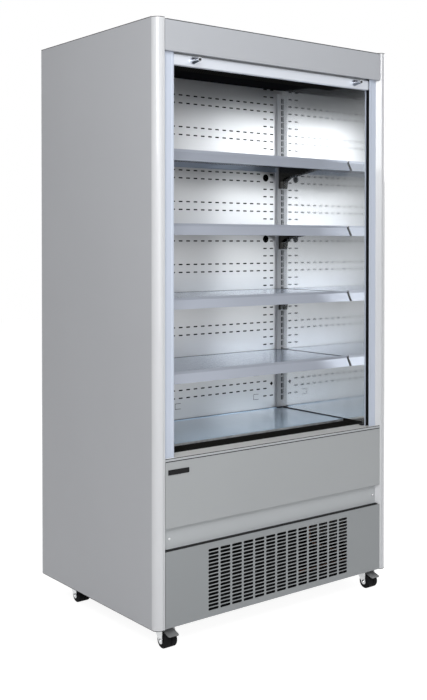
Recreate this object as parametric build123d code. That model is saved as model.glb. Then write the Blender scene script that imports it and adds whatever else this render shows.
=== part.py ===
from build123d import *
import os
from math import cos, hypot, radians, sin

# Open multideck display fridge on castors. Millimetres. x runs from the middle of the
# cabinet, y back from the noses of the corner profiles, z up from the floor. save() then
# moves every piece so that the origin lies under the middle of the model's box.

# --- Cabinet ----------------------------------------------------------------------------
width = 1040
depth = 728
castor_height = 67.5
sheet = 0.8
liner = 0.7
wall = 70                   # outer side sheet to inner side wall
back_wall_y = 513
rear_wall = 50
roof_wall = 42
floor_wall = 45
seat_gap = 0.3              # pieces of different bodies that rest on each other
joint_gap = 0.2             # fixed pieces that are slid together

# --- Front, from the bottom up ----------------------------------------------------------
cap_thickness = 2
louvre_height = 240
strip_height = 68
apron_height = 208.5
nosing_height = 9
opening_height = 1270
header_height = 96.5
roof_rise = 2               # roof sheet above the header
side_rise = 3               # side and back sheets above the roof sheet
panel_y = 3
panel_inset = 36.5
strip_gap = 4.5
strip_lip = 3
side_fold = 20
floor_drop = 12             # underside of the insulated floor below the strip's top
panel_return = 26
lip_return = 12

# --- Corner profile and jamb --------------------------------------------------------------
nose_radius = 25
bead_groove = 2.4
groove_depth = 1.5
groove_flat = 0.6
lip_width = 4.5
flank_width = 13.5
recess_depth = 17
profile_wall = 3
profile_back = 42
jamb_inset = 80
jamb_back = 39
jamb_bead = 10
jamb_top_gap = 5
bead_height = 1.4

# --- Night blind ------------------------------------------------------------------------
guide_depth = 14
guide_width = 15
guide_wall = 1.2
bar_height = 35
bar_y = 21
bar_depth = 18
bar_wall = 1.6
bar_cap = 8
bar_drop = 38               # bar bottom below the header's lower edge
bar_clearance = 1.2
tongue_height = 25
tongue_thickness = 8
tongue_gap = 3
knob_inset = 157
knob_z_above_bar = 18.5
knob_reach = 18             # knobs stand this far before the cabinet's front
collar_diameter = 22
collar_length = 5
neck_diameter = 12
ring_diameter = 15
ring_length = 5
plug_diameter = 9
plug_length = 1.5
roller_tube = 28
roll_diameter = 40
roller_pin = 8
roller_y = 53
roller_rise = 35            # roller axis above the header's lower edge
roller_plate = 3
roller_plate_drop = 14
cloth_thickness = 0.5
cloth_width = 864

# --- Shelves ----------------------------------------------------------------------------
shelf_count = 4
shelf_pitch = 244.2
top_rail_drop = 288.1       # top ticket rail below the header's lower edge
rail_height = 38.3
rail_y = 118                # lower front edge of the leaning rail
rail_depth = 19
rail_lean = 16
rail_lip = 9                # upright part above the leaning face
rail_wall = 1.5
rail_cap = 2
rail_above_shelf = 5
shelf_half = 446
shelf_back_gap = 2
shelf_rear_flange = 20
notch_gap = 2
bracket_width = 16
bracket_sheet = 2
bracket_front_y = 150
# Lower edge of a bracket: distance before the upright, drop below the shelf.
bracket_edge = [(0, 84), (8, 84), (13, 55), (35, 42), (110, 31), (180, 20)]
bracket_tip = 12
hook_drop = 20              # upper hook's top below the shelf's top
upright_width = 26
upright_depth = 10
upright_slot = 6
upright_slot_height = 19
upright_slot_inset = 4
upright_foot_gap = 4
upright_top_gap = 16
hook_height = 10
hook_reach = 5

# --- Deck and sill ----------------------------------------------------------------------
sill_depth = 72
sill_sheet = 1.5
deck_front = 157
deck_rise = 8.5
deck_hem = (8, 2)
deck_below = 10             # back wall below the sill's level
grille_thickness = 10
grille_cell = (20, 7)
grille_web = 1.6
ledge = 8

# --- Air outlet and ceiling ---------------------------------------------------------------
duct_front_y = 83
honeycomb_back_y = 228
honeycomb_thickness = 14
honeycomb_drop = 14         # honeycomb underside below the header's lower edge
honeycomb_cell = (22, 10)
ceiling_front_rise = 1
ceiling_back_rise = 18
lamp_radius = 8
lamp_half = 400
lamp_drop = 4               # lamp axis below the header's lower edge

# --- Slot patterns ----------------------------------------------------------------------
louvre_slot = (42, 8.6)
louvre_columns = 13
louvre_rows = 17
louvre_pitch_x = 48.9
louvre_pitch_z = 11.88
louvre_margin = 25
dash = (18.5, 5)
dash_columns = 24
dash_pitch_x = 34.8
dash_pitch_z = 29.57
lower_rows = 31
upper_rows = 10
duct_joint_drop = 310       # joint of the two duct sheets below the header's lower edge
first_row_drop = 13
wall_hole = 29
wall_hole_x = 369
wall_hole_drops = (14, 258)  # below the lower sheet's first row of dashes
upper_row_gap = 34           # dash rows on either side of the sheets' joint, further apart
lance = (27, 22)
lance_line = 1.6
lance_x = (-65, 319)
lance_rise = (0, 94)         # above the lowest row of dashes
diamond = 12
vent_rows = 14

# --- Castors ----------------------------------------------------------------------------
castor_x = 456
castor_front_y = 54
castor_rear_y = 580
castor_trail = 22
wheel_diameter = 50
wheel_width = 44
wheel_groove = 3
wheel_groove_depth = 4
castor_plate = 52
castor_plate_thickness = 4
fork_gap = 2
fork_leg = 2.5
fork_crown = 4
fork_top_gap = 0.3
kingpin_diameter = 10
kingpin_head = 14
kingpin_head_height = 1
axle_diameter = 8
running_gap = 0.05          # radial clearance of shafts and pins
pedal_width = 41
pedal_length = 41
pedal_thickness = 2
pedal_tilt = 18
pedal_pin = 4
pedal_hub = 6.4
pedal_rise = 31.5           # pedal pin above the wheel axle
pedal_back = 1              # pedal pin behind the wheel axle

# --- Machine compartment and evaporator -----------------------------------------------------
base_sheet = 2
base_flange = 40
post = 40
compressor_x = 230
compressor_y = 430
compressor_diameter = 170
compressor_height = 200
foot_height = 20
condenser_x = (-290, 110)
condenser_y = (50, 110)
condenser_z = (88, 292)
condenser_fan_x = -90
condenser_fan_diameter = 184
condenser_plate_y = 150
evaporator_half = 380
evaporator_y = (335, 495)
evaporator_rise = (14, 114)
evaporator_fan_x = 210
evaporator_fan_diameter = 130
evaporator_plate_y = 250
fan_ring_gap = 3
fan_hub = 44
fan_hub_length = 22
fan_shaft = 8
fan_shaft_length = 15
motor_diameter = 70
motor_length = 55
motor_gap = 2
fin_sheet = 0.4
tube_diameter = 9
tube_pitch = 25
pipe_diameter = 10
pipe_bend = 20
coil_header = 14
coil_tube_end = 6
compressor_stub = 12
compressor_stub_diameter = 14
discharge_rise = 150
suction_rise = 170
suction_x = 430
liquid_x = 438
liquid_y = 330
drain_x = -400
drain_y = 450
drain_bore = 22
front_foam_back = 60
gland_x = 400
gland_z = 130
gland_bore = 16
cord_hole = 8.2
gland_reach = 10
screw_inset = 61
screw_rise = 31
screw_head = 9
screw_dome = 3
screw_round = 2
screw_shank = 4
screw_length = 12

# --- Worked out from the sizes above --------------------------------------------------------
half_width = width / 2
opening_half = half_width - wall
base_z = castor_height
body_bottom = base_z + cap_thickness
louvre_top = body_bottom + louvre_height
strip_bottom = louvre_top + strip_gap
strip_top = strip_bottom + strip_height
apron_bottom = strip_top + joint_gap
apron_top = apron_bottom + apron_height
sill_top = apron_top + nosing_height
header_bottom = sill_top + opening_height
header_top = header_bottom + header_height
roof_top = header_top + roof_rise
side_top = roof_top + side_rise
rear_foam_y = depth - sheet - rear_wall
foam_back_y = depth - 2 * sheet - joint_gap
floor_bottom = strip_top - floor_drop
floor_top = floor_bottom + floor_wall
roof_bottom = roof_top - roof_wall
panel_half = half_width - panel_inset
flank_start = nose_radius + bead_groove + groove_flat + lip_width
flank_end = flank_start + flank_width
jamb_half = half_width - jamb_inset
jamb_top = roof_bottom - jamb_top_gap
core_half = opening_half + liner
core_outer = half_width - sheet
deck_top = sill_top + deck_rise
grille_bottom = sill_top - grille_thickness
front_plane = knob_reach - (depth + knob_reach + gland_reach) / 2
bar_bottom = header_bottom - bar_drop
bar_half = jamb_half - bar_clearance
roller_z = header_bottom + roller_rise
rail_tops = [header_bottom - top_rail_drop - number * shelf_pitch for number in range(shelf_count)]
upright_inner = opening_half - upright_width
slot_x = opening_half - upright_slot_inset
bracket_back = back_wall_y - upright_depth - joint_gap
shelf_front = rail_y + rail_depth
shelf_back = back_wall_y - shelf_back_gap
notch_x = upright_inner - notch_gap
notch_y = shelf_back - upright_depth
wheel_radius = wheel_diameter / 2
discharge_z = base_z + discharge_rise
suction_z = base_z + suction_rise
discharge_start = compressor_x - compressor_diameter / 2 - compressor_stub
suction_end = compressor_x + compressor_diameter / 2 + compressor_stub
coil_reach = coil_tube_end + coil_header


# --- Helpers ----------------------------------------------------------------------------
def save(node, *shapes):
    """Write one sub-part as its separate solids, moved to the model's origin."""
    solids = [solid for shape in shapes for solid in shape.solids()]
    body = solids[0] if len(solids) == 1 else Compound(solids)
    export_step(Pos(0, front_plane, 0) * body, f"parts/{node}.step")


def block(x_span, y_span, z_span):
    """Box between two corners."""
    spans = (x_span, y_span, z_span)
    size = [abs(high - low) for low, high in spans]
    middle = [(low + high) / 2 for low, high in spans]
    return Pos(*middle) * Box(*size)


def left(shape):
    """The same piece on the left side."""
    return mirror(shape, about=Plane.YZ)


def outline(points):
    """Flat face inside a closed line of points."""
    return make_face(Polyline(*points, close=True))


def prism_z(face, z_low, z_high):
    """Upright prism on a face drawn in x and y."""
    return Pos(0, 0, z_low) * extrude(face, z_high - z_low, dir=(0, 0, 1))


def prism_x(points, x_low, x_high):
    """Prism along x on an outline drawn in y and z."""
    return extrude(Plane.YZ.offset(x_low) * outline(points), x_high - x_low)


def rod(start, end, diameter):
    """Round bar between two points."""
    length = (Vector(*end) - Vector(*start)).length
    plane = Plane(origin=start, z_dir=Vector(*end) - Vector(*start))
    return extrude(plane * Circle(diameter / 2), length)


def holed_face(x_span, y_span, holes):
    """Rectangle with hole outlines cut out of it."""
    corners = [(x_span[0], y_span[0]), (x_span[1], y_span[0]),
               (x_span[1], y_span[1]), (x_span[0], y_span[1])]
    return Face(Wire.make_polygon(corners, close=True), holes)


def slot_at(size, x, y):
    """Outline of a round-ended slot."""
    return SlotOverall(*size).face().outer_wire().moved(Location((x, y, 0)))


def circle_at(diameter, x, y):
    """Outline of a round hole."""
    return Circle(diameter / 2).face().outer_wire().moved(Location((x, y, 0)))


def box_at(size, x, y, turn=0):
    """Outline of a rectangular hole."""
    return Rectangle(*size).face().outer_wire().moved(Location((x, y, 0), (0, 0, turn)))


def front_sheet(face, y, thickness):
    """Upright sheet whose face, drawn in x and z, looks forward at y."""
    plane = Plane(origin=(0, y, 0), x_dir=(1, 0, 0), z_dir=(0, -1, 0))
    return extrude(plane * face, -thickness)


def grid_holes(x_span, y_span, cell, web):
    """Even grid of rectangular cells inside a rectangle, with a border all round."""
    pitch_x = cell[0] + web
    pitch_y = cell[1] + web
    columns = int((x_span[1] - x_span[0] - 4 * web) // pitch_x)
    rows = int((y_span[1] - y_span[0] - 4 * web) // pitch_y)
    middle_x = sum(x_span) / 2
    middle_y = sum(y_span) / 2
    return [box_at(cell, middle_x + (column - (columns - 1) / 2) * pitch_x,
                   middle_y + (row - (rows - 1) / 2) * pitch_y)
            for column in range(columns) for row in range(rows)]


# --- Corner profile, jamb and blind guide -----------------------------------------------------
def nose_face(radius, points):
    """Face closed by a quarter-round nose and straight lines through the points."""
    centre = (half_width - nose_radius, nose_radius)
    nose = CenterArc(centre, radius, 270, 90)
    lines = Polyline(nose @ 1, *points, nose @ 0)
    return Face(Wire([nose.edge(), *lines.edges()]))


def profile_face():
    """Outside of the corner profile: nose, bead groove, lip and slanted flank."""
    side_x = half_width - sheet - joint_gap
    groove_x = half_width - nose_radius - groove_flat
    return nose_face(nose_radius, [
        (side_x, nose_radius), (side_x, profile_back),
        (half_width - flank_end, profile_back), (half_width - flank_end, recess_depth),
        (half_width - flank_start, 0), (groove_x - bead_groove, 0),
        (groove_x - bead_groove, groove_depth), (groove_x, groove_depth), (groove_x, 0)])


def profile_hollow():
    """Hollow inside the corner profile."""
    lean = flank_width / recess_depth
    inset = profile_wall * hypot(1, lean)
    inner_x = flank_end - profile_wall
    back_y = profile_back - profile_wall
    turn_y = (inner_x - flank_start + inset) / lean
    front_x = flank_start + lean * profile_wall - inset
    side_x = half_width - profile_wall
    return nose_face(nose_radius - profile_wall, [
        (side_x, back_y), (half_width - inner_x, back_y), (half_width - inner_x, turn_y),
        (half_width - front_x, profile_wall)])


def corner_profile():
    section = profile_face() - profile_hollow()
    return prism_z(section, body_bottom, roof_top)


def end_caps():
    """Black caps over both ends of one profile."""
    face = profile_face()
    return [prism_z(face, base_z, body_bottom), prism_z(face, roof_top, roof_top + cap_thickness)]


def jamb():
    """Folded sheet beside the opening: beaded front, guide pocket, flank and return."""
    outer = half_width - flank_end - joint_gap
    pocket = jamb_half + guide_depth
    front = recess_depth
    guide_back = front + sheet + guide_width
    bead = ThreePointArc((jamb_half + jamb_bead, front),
                         (jamb_half + jamb_bead / 2, front - bead_height), (jamb_half, front))
    lines = Polyline(
        (jamb_half, front), (jamb_half, front + sheet), (pocket, front + sheet),
        (pocket, guide_back), (jamb_half, guide_back), (jamb_half, jamb_back),
        (opening_half - joint_gap, jamb_back), (opening_half - joint_gap, jamb_back - sheet),
        (jamb_half + sheet, jamb_back - sheet), (jamb_half + sheet, guide_back + sheet),
        (pocket + sheet, guide_back + sheet), (pocket + sheet, front + sheet),
        (outer, front + sheet), (outer, front), (jamb_half + jamb_bead, front))
    return prism_z(Face(Wire([bead.edge(), *lines.edges()])), sill_top, jamb_top)


def blind_guide():
    """Channel in the jamb's pocket, open towards the opening."""
    front = recess_depth + sheet
    back = front + guide_width
    pocket = jamb_half + guide_depth
    face = outline([
        (pocket, front), (jamb_half, front), (jamb_half, front + guide_wall),
        (pocket - guide_wall, front + guide_wall), (pocket - guide_wall, back - guide_wall),
        (jamb_half, back - guide_wall), (jamb_half, back), (pocket, back)])
    return prism_z(face, sill_top, jamb_top)


def roller_bracket():
    """End plate that carries the blind roller's pin."""
    inner = opening_half - roller_plate
    plate = block((inner, opening_half), (jamb_back + 2, duct_front_y - 6),
                  (roller_z - roller_plate_drop, roof_bottom))
    hole = rod((inner - 1, roller_y, roller_z), (opening_half + 1, roller_y, roller_z),
               roller_pin + 2 * running_gap)
    return plate - hole


def sill_stop():
    """Small black block on the sill beside the jamb."""
    stop_width = 10
    stop_depth = 16
    stop_height = 7
    outer = jamb_half + 2
    front = jamb_back + 3
    return block((outer - stop_width, outer), (front, front + stop_depth),
                 (sill_top, sill_top + stop_height))


# --- Front panels -------------------------------------------------------------------------
def folded_panel(z_low, z_high, low_return, high_return, holes=()):
    """Flat front panel with its lower and upper edges folded back."""
    face = front_sheet(holed_face((-panel_half, panel_half), (z_low, z_high), list(holes)),
                       panel_y, sheet)
    back = panel_y + sheet
    half = half_width - flank_end - joint_gap
    lower = block((-half, half), (back, back + low_return), (z_low, z_low + sheet))
    upper = block((-half, half), (back, back + high_return), (z_high - sheet, z_high))
    return face + lower + upper


def louvre_slots():
    """Centres of the plinth slots, column by column."""
    top = louvre_top - louvre_margin
    return [slot_at(louvre_slot, (column - (louvre_columns - 1) / 2) * louvre_pitch_x,
                    top - row * louvre_pitch_z)
            for column in range(louvre_columns) for row in range(louvre_rows)]


def badge_plate():
    """Bare black plate on the apron, rounded at its right end."""
    size_x = 81
    size_z = 16
    thickness = 1.5
    left_x = 11 - panel_half
    bottom = apron_top - 42
    plate = block((left_x, left_x + size_x), (panel_y - thickness, panel_y),
                  (bottom, bottom + size_z))
    ends = plate.edges().filter_by(Axis.Y).group_by(Axis.X)[-1]
    return fillet(ends, 3)


def service_strip():
    """Recessed strip under the apron, with a small lip along its lower edge."""
    half = half_width - flank_end - joint_gap
    holes = [circle_at(screw_shank + 0.2, side * (half_width - screw_inset), strip_bottom + screw_rise)
             for side in (-1, 1)]
    face = holed_face((-half, half), (strip_bottom, strip_top), holes)
    lip = block((-half, half), (recess_depth - strip_lip, recess_depth),
                (strip_bottom, strip_bottom + sheet))
    return front_sheet(face, recess_depth, sheet) + lip


def strip_screw(side):
    """Domed screw through the service strip."""
    x = side * (half_width - screw_inset)
    z = strip_bottom + screw_rise
    head = rod((x, recess_depth, z), (x, recess_depth - screw_dome, z), screw_head)
    head = fillet(head.edges().filter_by(GeomType.CIRCLE).sort_by(Axis.Y)[0], screw_round)
    return head + rod((x, recess_depth, z), (x, recess_depth + screw_length, z), screw_shank)


def front_sill():
    """Sill plate with its nosing, and a ledge behind for the air inlet grille."""
    half = half_width - flank_end - joint_gap
    inner = opening_half - joint_gap
    plate = outline([
        (-panel_half, panel_y), (panel_half, panel_y), (half, recess_depth), (half, jamb_back),
        (inner, jamb_back), (inner, sill_depth), (-inner, sill_depth), (-inner, jamb_back),
        (-half, jamb_back), (-half, recess_depth)])
    top = prism_z(plate, sill_top - sill_sheet, sill_top)
    nosing = block((-panel_half, panel_half), (panel_y, panel_y + sill_sheet), (apron_top, sill_top))
    low = grille_bottom - sill_sheet
    riser = block((-inner, inner), (sill_depth - sill_sheet, sill_depth), (low, sill_top))
    shelf = block((-inner, inner), (sill_depth, sill_depth + ledge), (low, grille_bottom))
    return top + nosing + riser + shelf


def return_air_grille():
    """Flat black grille between the sill and the deck."""
    x_span = (-opening_half + 1, opening_half - 1)
    y_span = (sill_depth + joint_gap, deck_front - joint_gap)
    face = holed_face(x_span, y_span, grid_holes(x_span, y_span, grille_cell, grille_web))
    return prism_z(face, grille_bottom, sill_top)


# --- Shell --------------------------------------------------------------------------------
def side_panel():
    """Outer side sheet with a folded rear edge."""
    rear = depth - sheet
    z_span = (body_bottom, side_top)
    skin = block((core_outer, half_width), (nose_radius + joint_gap, rear), z_span)
    fold = block((half_width - side_fold, core_outer), (rear - sheet, rear), z_span)
    return skin + fold


def inner_wall():
    return block((opening_half, core_half), (jamb_back + joint_gap, rear_foam_y),
                 (floor_bottom, roof_bottom))


def drain_hole():
    """Room for the drain pipe through the floor."""
    return rod((drain_x, drain_y, floor_bottom - 1), (drain_x, drain_y, floor_top + 3), drain_bore)


def pipe_holes():
    """Room for the two refrigerant pipes through the floor."""
    bores = [(suction_x, compressor_y), (liquid_x, liquid_y)]
    return [rod((x, y, floor_bottom - 1), (x, y, floor_top + 3), pipe_diameter + 2) for x, y in bores]


def foam_blocks():
    """Insulation: two sides, back, roof, floor and front."""
    side = block((core_half, core_outer), (profile_back + joint_gap, foam_back_y),
                 (floor_bottom, roof_top - sheet))
    back = block((-core_half, core_half), (rear_foam_y, foam_back_y), (floor_bottom, roof_top - sheet))
    roof = block((-core_half, core_half), (duct_front_y + liner, rear_foam_y),
                 (roof_bottom, roof_top - sheet))
    floor = block((-opening_half, opening_half), (front_foam_back, rear_foam_y), (floor_bottom, floor_top))
    floor = floor - drain_hole() - pipe_holes()[0] - pipe_holes()[1]
    front = block((-opening_half, opening_half), (panel_y + sheet + panel_return, front_foam_back),
                  (floor_bottom, apron_top))
    return [side, left(side), back, roof, floor, front]


def floor_liner():
    """Sheet over the floor insulation, turned up behind the front insulation."""
    flat = block((-opening_half, opening_half), (front_foam_back, rear_foam_y - liner),
                 (floor_top, floor_top + liner))
    upstand = block((-opening_half, opening_half), (front_foam_back, front_foam_back + liner),
                    (floor_top, grille_bottom - sill_sheet - joint_gap))
    return flat + upstand - drain_hole() - pipe_holes()[0] - pipe_holes()[1]


def rear_liner():
    return block((-opening_half, opening_half), (rear_foam_y - liner, rear_foam_y),
                 (floor_top, roof_bottom))


def rear_panel():
    """Outer back sheet with the warm-air vent and the hole for the cable gland."""
    vent_top = floor_bottom - louvre_margin + 2
    slots = [slot_at(louvre_slot, (column - (louvre_columns - 1) / 2) * louvre_pitch_x,
                     vent_top - row * louvre_pitch_z)
             for column in range(louvre_columns) for row in range(vent_rows)]
    slots.append(circle_at(gland_bore, gland_x, gland_z))
    face = holed_face((-half_width, half_width), (body_bottom, side_top), slots)
    return front_sheet(face, depth - sheet, sheet)


def roof_panel():
    """Roof sheet, notched round the corner profiles."""
    notch = half_width - flank_end - joint_gap
    front = panel_y + sheet
    back = depth - 2 * sheet - joint_gap
    face = outline([(-notch, front), (notch, front), (notch, profile_back + joint_gap),
                    (core_outer, profile_back + joint_gap), (core_outer, back), (-core_outer, back),
                    (-core_outer, profile_back + joint_gap), (-notch, profile_back + joint_gap)])
    return prism_z(face, roof_top - sheet, roof_top)


# --- Back wall and ceiling -------------------------------------------------------------------
def clear_of_wall_hole(x, z, hole_rows):
    """True where a dash doesn't run into a round hole."""
    reach_x = (dash[0] + wall_hole) / 2 + 1
    reach_z = (dash[1] + wall_hole) / 2 + 1
    return all(abs(abs(x) - wall_hole_x) > reach_x or abs(z - row) > reach_z for row in hole_rows)


def dash_row(z, full, skip_outer, hole_rows):
    """One row of dashes: all across, or only the two outer columns of each side."""
    row = []
    for column in range(dash_columns):
        from_edge = min(column, dash_columns - 1 - column)
        x = (column - (dash_columns - 1) / 2) * dash_pitch_x
        wanted = (full or from_edge < 2) and not (skip_outer and from_edge == 0)
        if wanted and clear_of_wall_hole(x, z, hole_rows):
            row.append(slot_at(dash, x, z))
    return row


def lance_at(x, z):
    """Narrow C-shaped cut."""
    right = x + lance[0] / 2
    left_x = right - lance[0]
    low = z - lance[1] / 2
    high = low + lance[1]
    line = lance_line
    points = [(right, low), (right, low + line), (left_x + line, low + line),
              (left_x + line, high - line), (right, high - line), (right, high),
              (left_x, high), (left_x, low)]
    return Wire.make_polygon(points, close=True)


def lower_duct_panel():
    """Lower sheet of the back wall, from behind the deck to under the top shelf."""
    joint_z = header_bottom - duct_joint_drop
    first = joint_z - first_row_drop
    hole_rows = [first - drop for drop in wall_hole_drops]
    holes = [circle_at(wall_hole, side * wall_hole_x, z) for side in (-1, 1) for z in hole_rows]
    for number in range(lower_rows):
        full = number % 4 < 2
        skip_outer = full and number >= lower_rows - 3
        holes += dash_row(first - number * dash_pitch_z, full, skip_outer, hole_rows)
    last = first - (lower_rows - 1) * dash_pitch_z
    diamond_x = (dash_columns - 1) / 2 * dash_pitch_x
    holes += [box_at((diamond, diamond), side * diamond_x, last + 1.6 * dash_pitch_z, 45)
              for side in (-1, 1)]
    holes += [lance_at(x, last + rise) for x in lance_x for rise in lance_rise]
    face = holed_face((-opening_half, opening_half), (sill_top - deck_below, joint_z), holes)
    return front_sheet(face, back_wall_y, liner)


def upper_duct_panel():
    """Upper sheet of the back wall, up to the ceiling."""
    joint_z = header_bottom - duct_joint_drop
    first = joint_z + joint_gap + 2 * first_row_drop + (upper_rows - 1) * dash_pitch_z + upper_row_gap
    holes = []
    for number in range(upper_rows):
        holes += dash_row(first - number * dash_pitch_z, number % 4 > 1, False, [])
    face = holed_face((-opening_half, opening_half), (joint_z + joint_gap, first + 2 * dash[1]), holes)
    return front_sheet(face, back_wall_y, liner)


def canopy_ceiling():
    """Rear ceiling sheet and the duct's front wall, each with a ledge for the honeycomb."""
    half = opening_half - joint_gap
    low = header_bottom - honeycomb_drop
    mid = header_bottom + ceiling_front_rise
    high = header_bottom + ceiling_back_rise
    back = back_wall_y - joint_gap
    edge = honeycomb_back_y
    rear = prism_x([(edge - ledge, low - liner), (edge + liner, low - liner), (edge + liner, mid),
                    (back, high), (back, high + liner), (edge, mid + liner), (edge, low),
                    (edge - ledge, low)], -half, half)
    front_y = duct_front_y
    front = prism_x([(front_y, low - liner), (front_y + ledge, low - liner), (front_y + ledge, low),
                     (front_y + liner, low), (front_y + liner, roof_top - sheet),
                     (front_y, roof_top - sheet)], -half, half)
    return [rear, front]


def air_honeycomb():
    """Honeycomb that lays the falling air curtain."""
    low = header_bottom - honeycomb_drop
    x_span = (-opening_half + 1, opening_half - 1)
    y_span = (duct_front_y + liner + joint_gap, honeycomb_back_y - joint_gap)
    face = holed_face(x_span, y_span, grid_holes(x_span, y_span, honeycomb_cell, grille_web))
    return prism_z(face, low, low + honeycomb_thickness)


def light_tube():
    """Lamp with a flat base and a round diffuser, on the duct's front wall."""
    middle = header_bottom - lamp_drop
    base = block((-lamp_half, lamp_half), (duct_front_y - 2 * lamp_radius, duct_front_y),
                 (middle - lamp_radius, middle + lamp_radius))
    return fillet(base.edges().filter_by(Axis.X).group_by(Axis.Y)[0], lamp_radius * 0.9)


def upright():
    """Slotted corner channel for the shelf brackets."""
    top = header_bottom + ceiling_back_rise - upright_top_gap
    bottom = deck_top + upright_foot_gap
    pitch = shelf_pitch / 10
    first = hook_levels(rail_tops[0])[0]
    rows = [first + step * pitch for step in range(-60, 20)]
    holes = [box_at((upright_slot, upright_slot_height), slot_x, z) for z in rows
             if bottom + pitch < z < top - pitch]
    front = back_wall_y - upright_depth
    face = front_sheet(holed_face((upright_inner, opening_half), (bottom, top), holes), front, liner)
    web = block((upright_inner, upright_inner + liner), (front + liner, back_wall_y), (bottom, top))
    return face + web


# --- Shelves ----------------------------------------------------------------------------
def shelf_bracket(rail_top):
    """Cantilever channel under one end of a shelf, with two hooks in the upright."""
    top = rail_top - rail_above_shelf - sheet - seat_gap
    back = bracket_back
    outer = slot_x + bracket_sheet / 2
    inner = outer - bracket_width
    lower = [(back - reach, top - drop) for reach, drop in bracket_edge]
    lower.append((bracket_front_y, top - bracket_tip))
    upper = [(y, z + bracket_sheet) for y, z in reversed(lower)]
    side = [(back, top), *lower, (bracket_front_y, top)]
    web = prism_x(lower + upper, inner, outer)
    outer_plate = prism_x(side, outer - bracket_sheet, outer)
    inner_plate = prism_x(side, inner, inner + bracket_sheet)
    hooks = [block((outer - bracket_sheet, outer), (back, back + hook_reach),
                   (z - hook_height / 2, z + hook_height / 2)) for z in hook_levels(rail_top)]
    return web + outer_plate + inner_plate + hooks[0] + hooks[1]


def hook_levels(rail_top):
    """Middles of a bracket's two hooks, two slots apart."""
    first = rail_top - rail_above_shelf - hook_drop - hook_height / 2
    return [first, first - shelf_pitch / 5]


def notched_face(half, front):
    """Flat outline of a shelf or the deck, with its rear corners cut out for the uprights."""
    return outline([(-half, front), (half, front), (half, notch_y), (notch_x, notch_y),
                    (notch_x, shelf_back), (-notch_x, shelf_back), (-notch_x, notch_y), (-half, notch_y)])


def shelf_tray(rail_top):
    """Shelf sheet with folded front and rear edges, notched round the uprights."""
    top = rail_top - rail_above_shelf
    low = top - sheet
    plate = prism_z(notched_face(shelf_half, shelf_front), low, top)
    fold = block((-shelf_half, shelf_half), (shelf_front, shelf_front + sheet),
                 (rail_top - rail_height, low))
    rear = block((-notch_x, notch_x), (shelf_back - sheet, shelf_back), (top - shelf_rear_flange, low))
    return plate + fold + rear


def ticket_rail(rail_top):
    """Hollow price rail with a leaning front, on the shelf's front edge, and its two end caps."""
    bottom = rail_top - rail_height
    lip_y = rail_y + rail_lean
    outside = [(rail_y, bottom), (shelf_front, bottom), (shelf_front, rail_top), (lip_y, rail_top),
               (lip_y, rail_top - rail_lip)]
    half = shelf_half - rail_cap
    hollow = Plane.YZ.offset(-half) * offset(outline(outside), -rail_wall)
    rail = prism_x(outside, -half, half) - extrude(hollow, 2 * half)
    cap = prism_x(outside, half, shelf_half)
    return [rail, cap, left(cap)]


def deck_tray():
    """Bottom display deck with hemmed front and rear edges."""
    face = notched_face(opening_half - notch_gap, deck_front)
    plate = prism_z(face, deck_top - sill_sheet, deck_top)
    hem_depth, hem_height = deck_hem
    hem = block((-notch_x, notch_x), (shelf_back - hem_depth, shelf_back), (deck_top, deck_top + hem_height))
    return plate + hem


# --- Night blind ----------------------------------------------------------------------------
def blind_bar():
    """Hollow pull bar."""
    z_span = (bar_bottom, bar_bottom + bar_height)
    y_span = (bar_y, bar_y + bar_depth)
    half = bar_half - bar_cap
    shell = block((-half, half), y_span, z_span)
    shell = fillet(shell.edges().filter_by(Axis.X), 3)
    return shell - block((-half, half), (y_span[0] + bar_wall, y_span[1] - bar_wall),
                         (z_span[0] + bar_wall, z_span[1] - bar_wall))


def bar_end():
    """End cap of the bar, with the tongue that runs in the guide."""
    z_span = (bar_bottom, bar_bottom + bar_height)
    cap = block((bar_half - bar_cap, bar_half), (bar_y, bar_y + bar_depth), z_span)
    cap = fillet(cap.edges().filter_by(Axis.X), 3)
    middle_y = recess_depth + sheet + guide_width / 2
    middle_z = bar_bottom + bar_height / 2
    reach = jamb_half + guide_depth - guide_wall - tongue_gap
    tongue = block((bar_half, reach),
                   (middle_y - tongue_thickness / 2, middle_y + tongue_thickness / 2),
                   (middle_z - tongue_height / 2, middle_z + tongue_height / 2))
    return cap + tongue


def blind_knob(side):
    """Turned knob on the bar: collar, tapered neck and end ring, with a plug in the ring."""
    collar_end = bar_y - collar_length
    ring_end = plug_length - knob_reach
    ring_start = ring_end + ring_length
    outline_points = [(0, bar_y), (collar_diameter / 2, bar_y), (collar_diameter / 2, collar_end),
                      (neck_diameter / 2, ring_start + ring_length / 2),
                      (ring_diameter / 2, ring_start), (ring_diameter / 2, ring_end), (0, ring_end)]
    place = Pos(side * (half_width - knob_inset), 0, bar_bottom + knob_z_above_bar)
    turned = revolve(outline(outline_points), Axis.Y)
    plug = rod((0, ring_end, 0), (0, -knob_reach, 0), plug_diameter)
    return [place * turned, place * plug]


def blind_roller():
    """Sprung tube with its end pins, and the cloth wound on it."""
    tube_half = jamb_half - 1
    pin_half = opening_half - 0.5
    cloth_half = cloth_width / 2
    axis = [(x, roller_y, roller_z) for x in (-pin_half, pin_half, -tube_half, tube_half,
                                              -cloth_half, cloth_half)]
    tube = rod(axis[2], axis[3], roller_tube) + rod(axis[0], axis[1], roller_pin)
    cloth = rod(axis[4], axis[5], roll_diameter) - rod(axis[4], axis[5], roller_tube)
    return [tube, cloth]


def blind_curtain():
    """Cloth between the roller and the bar."""
    front = roller_y - roll_diameter / 2 - joint_gap - cloth_thickness
    half = cloth_width / 2
    return block((-half, half), (front, front + cloth_thickness),
                 (bar_bottom + bar_height + seat_gap, roller_z))


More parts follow.
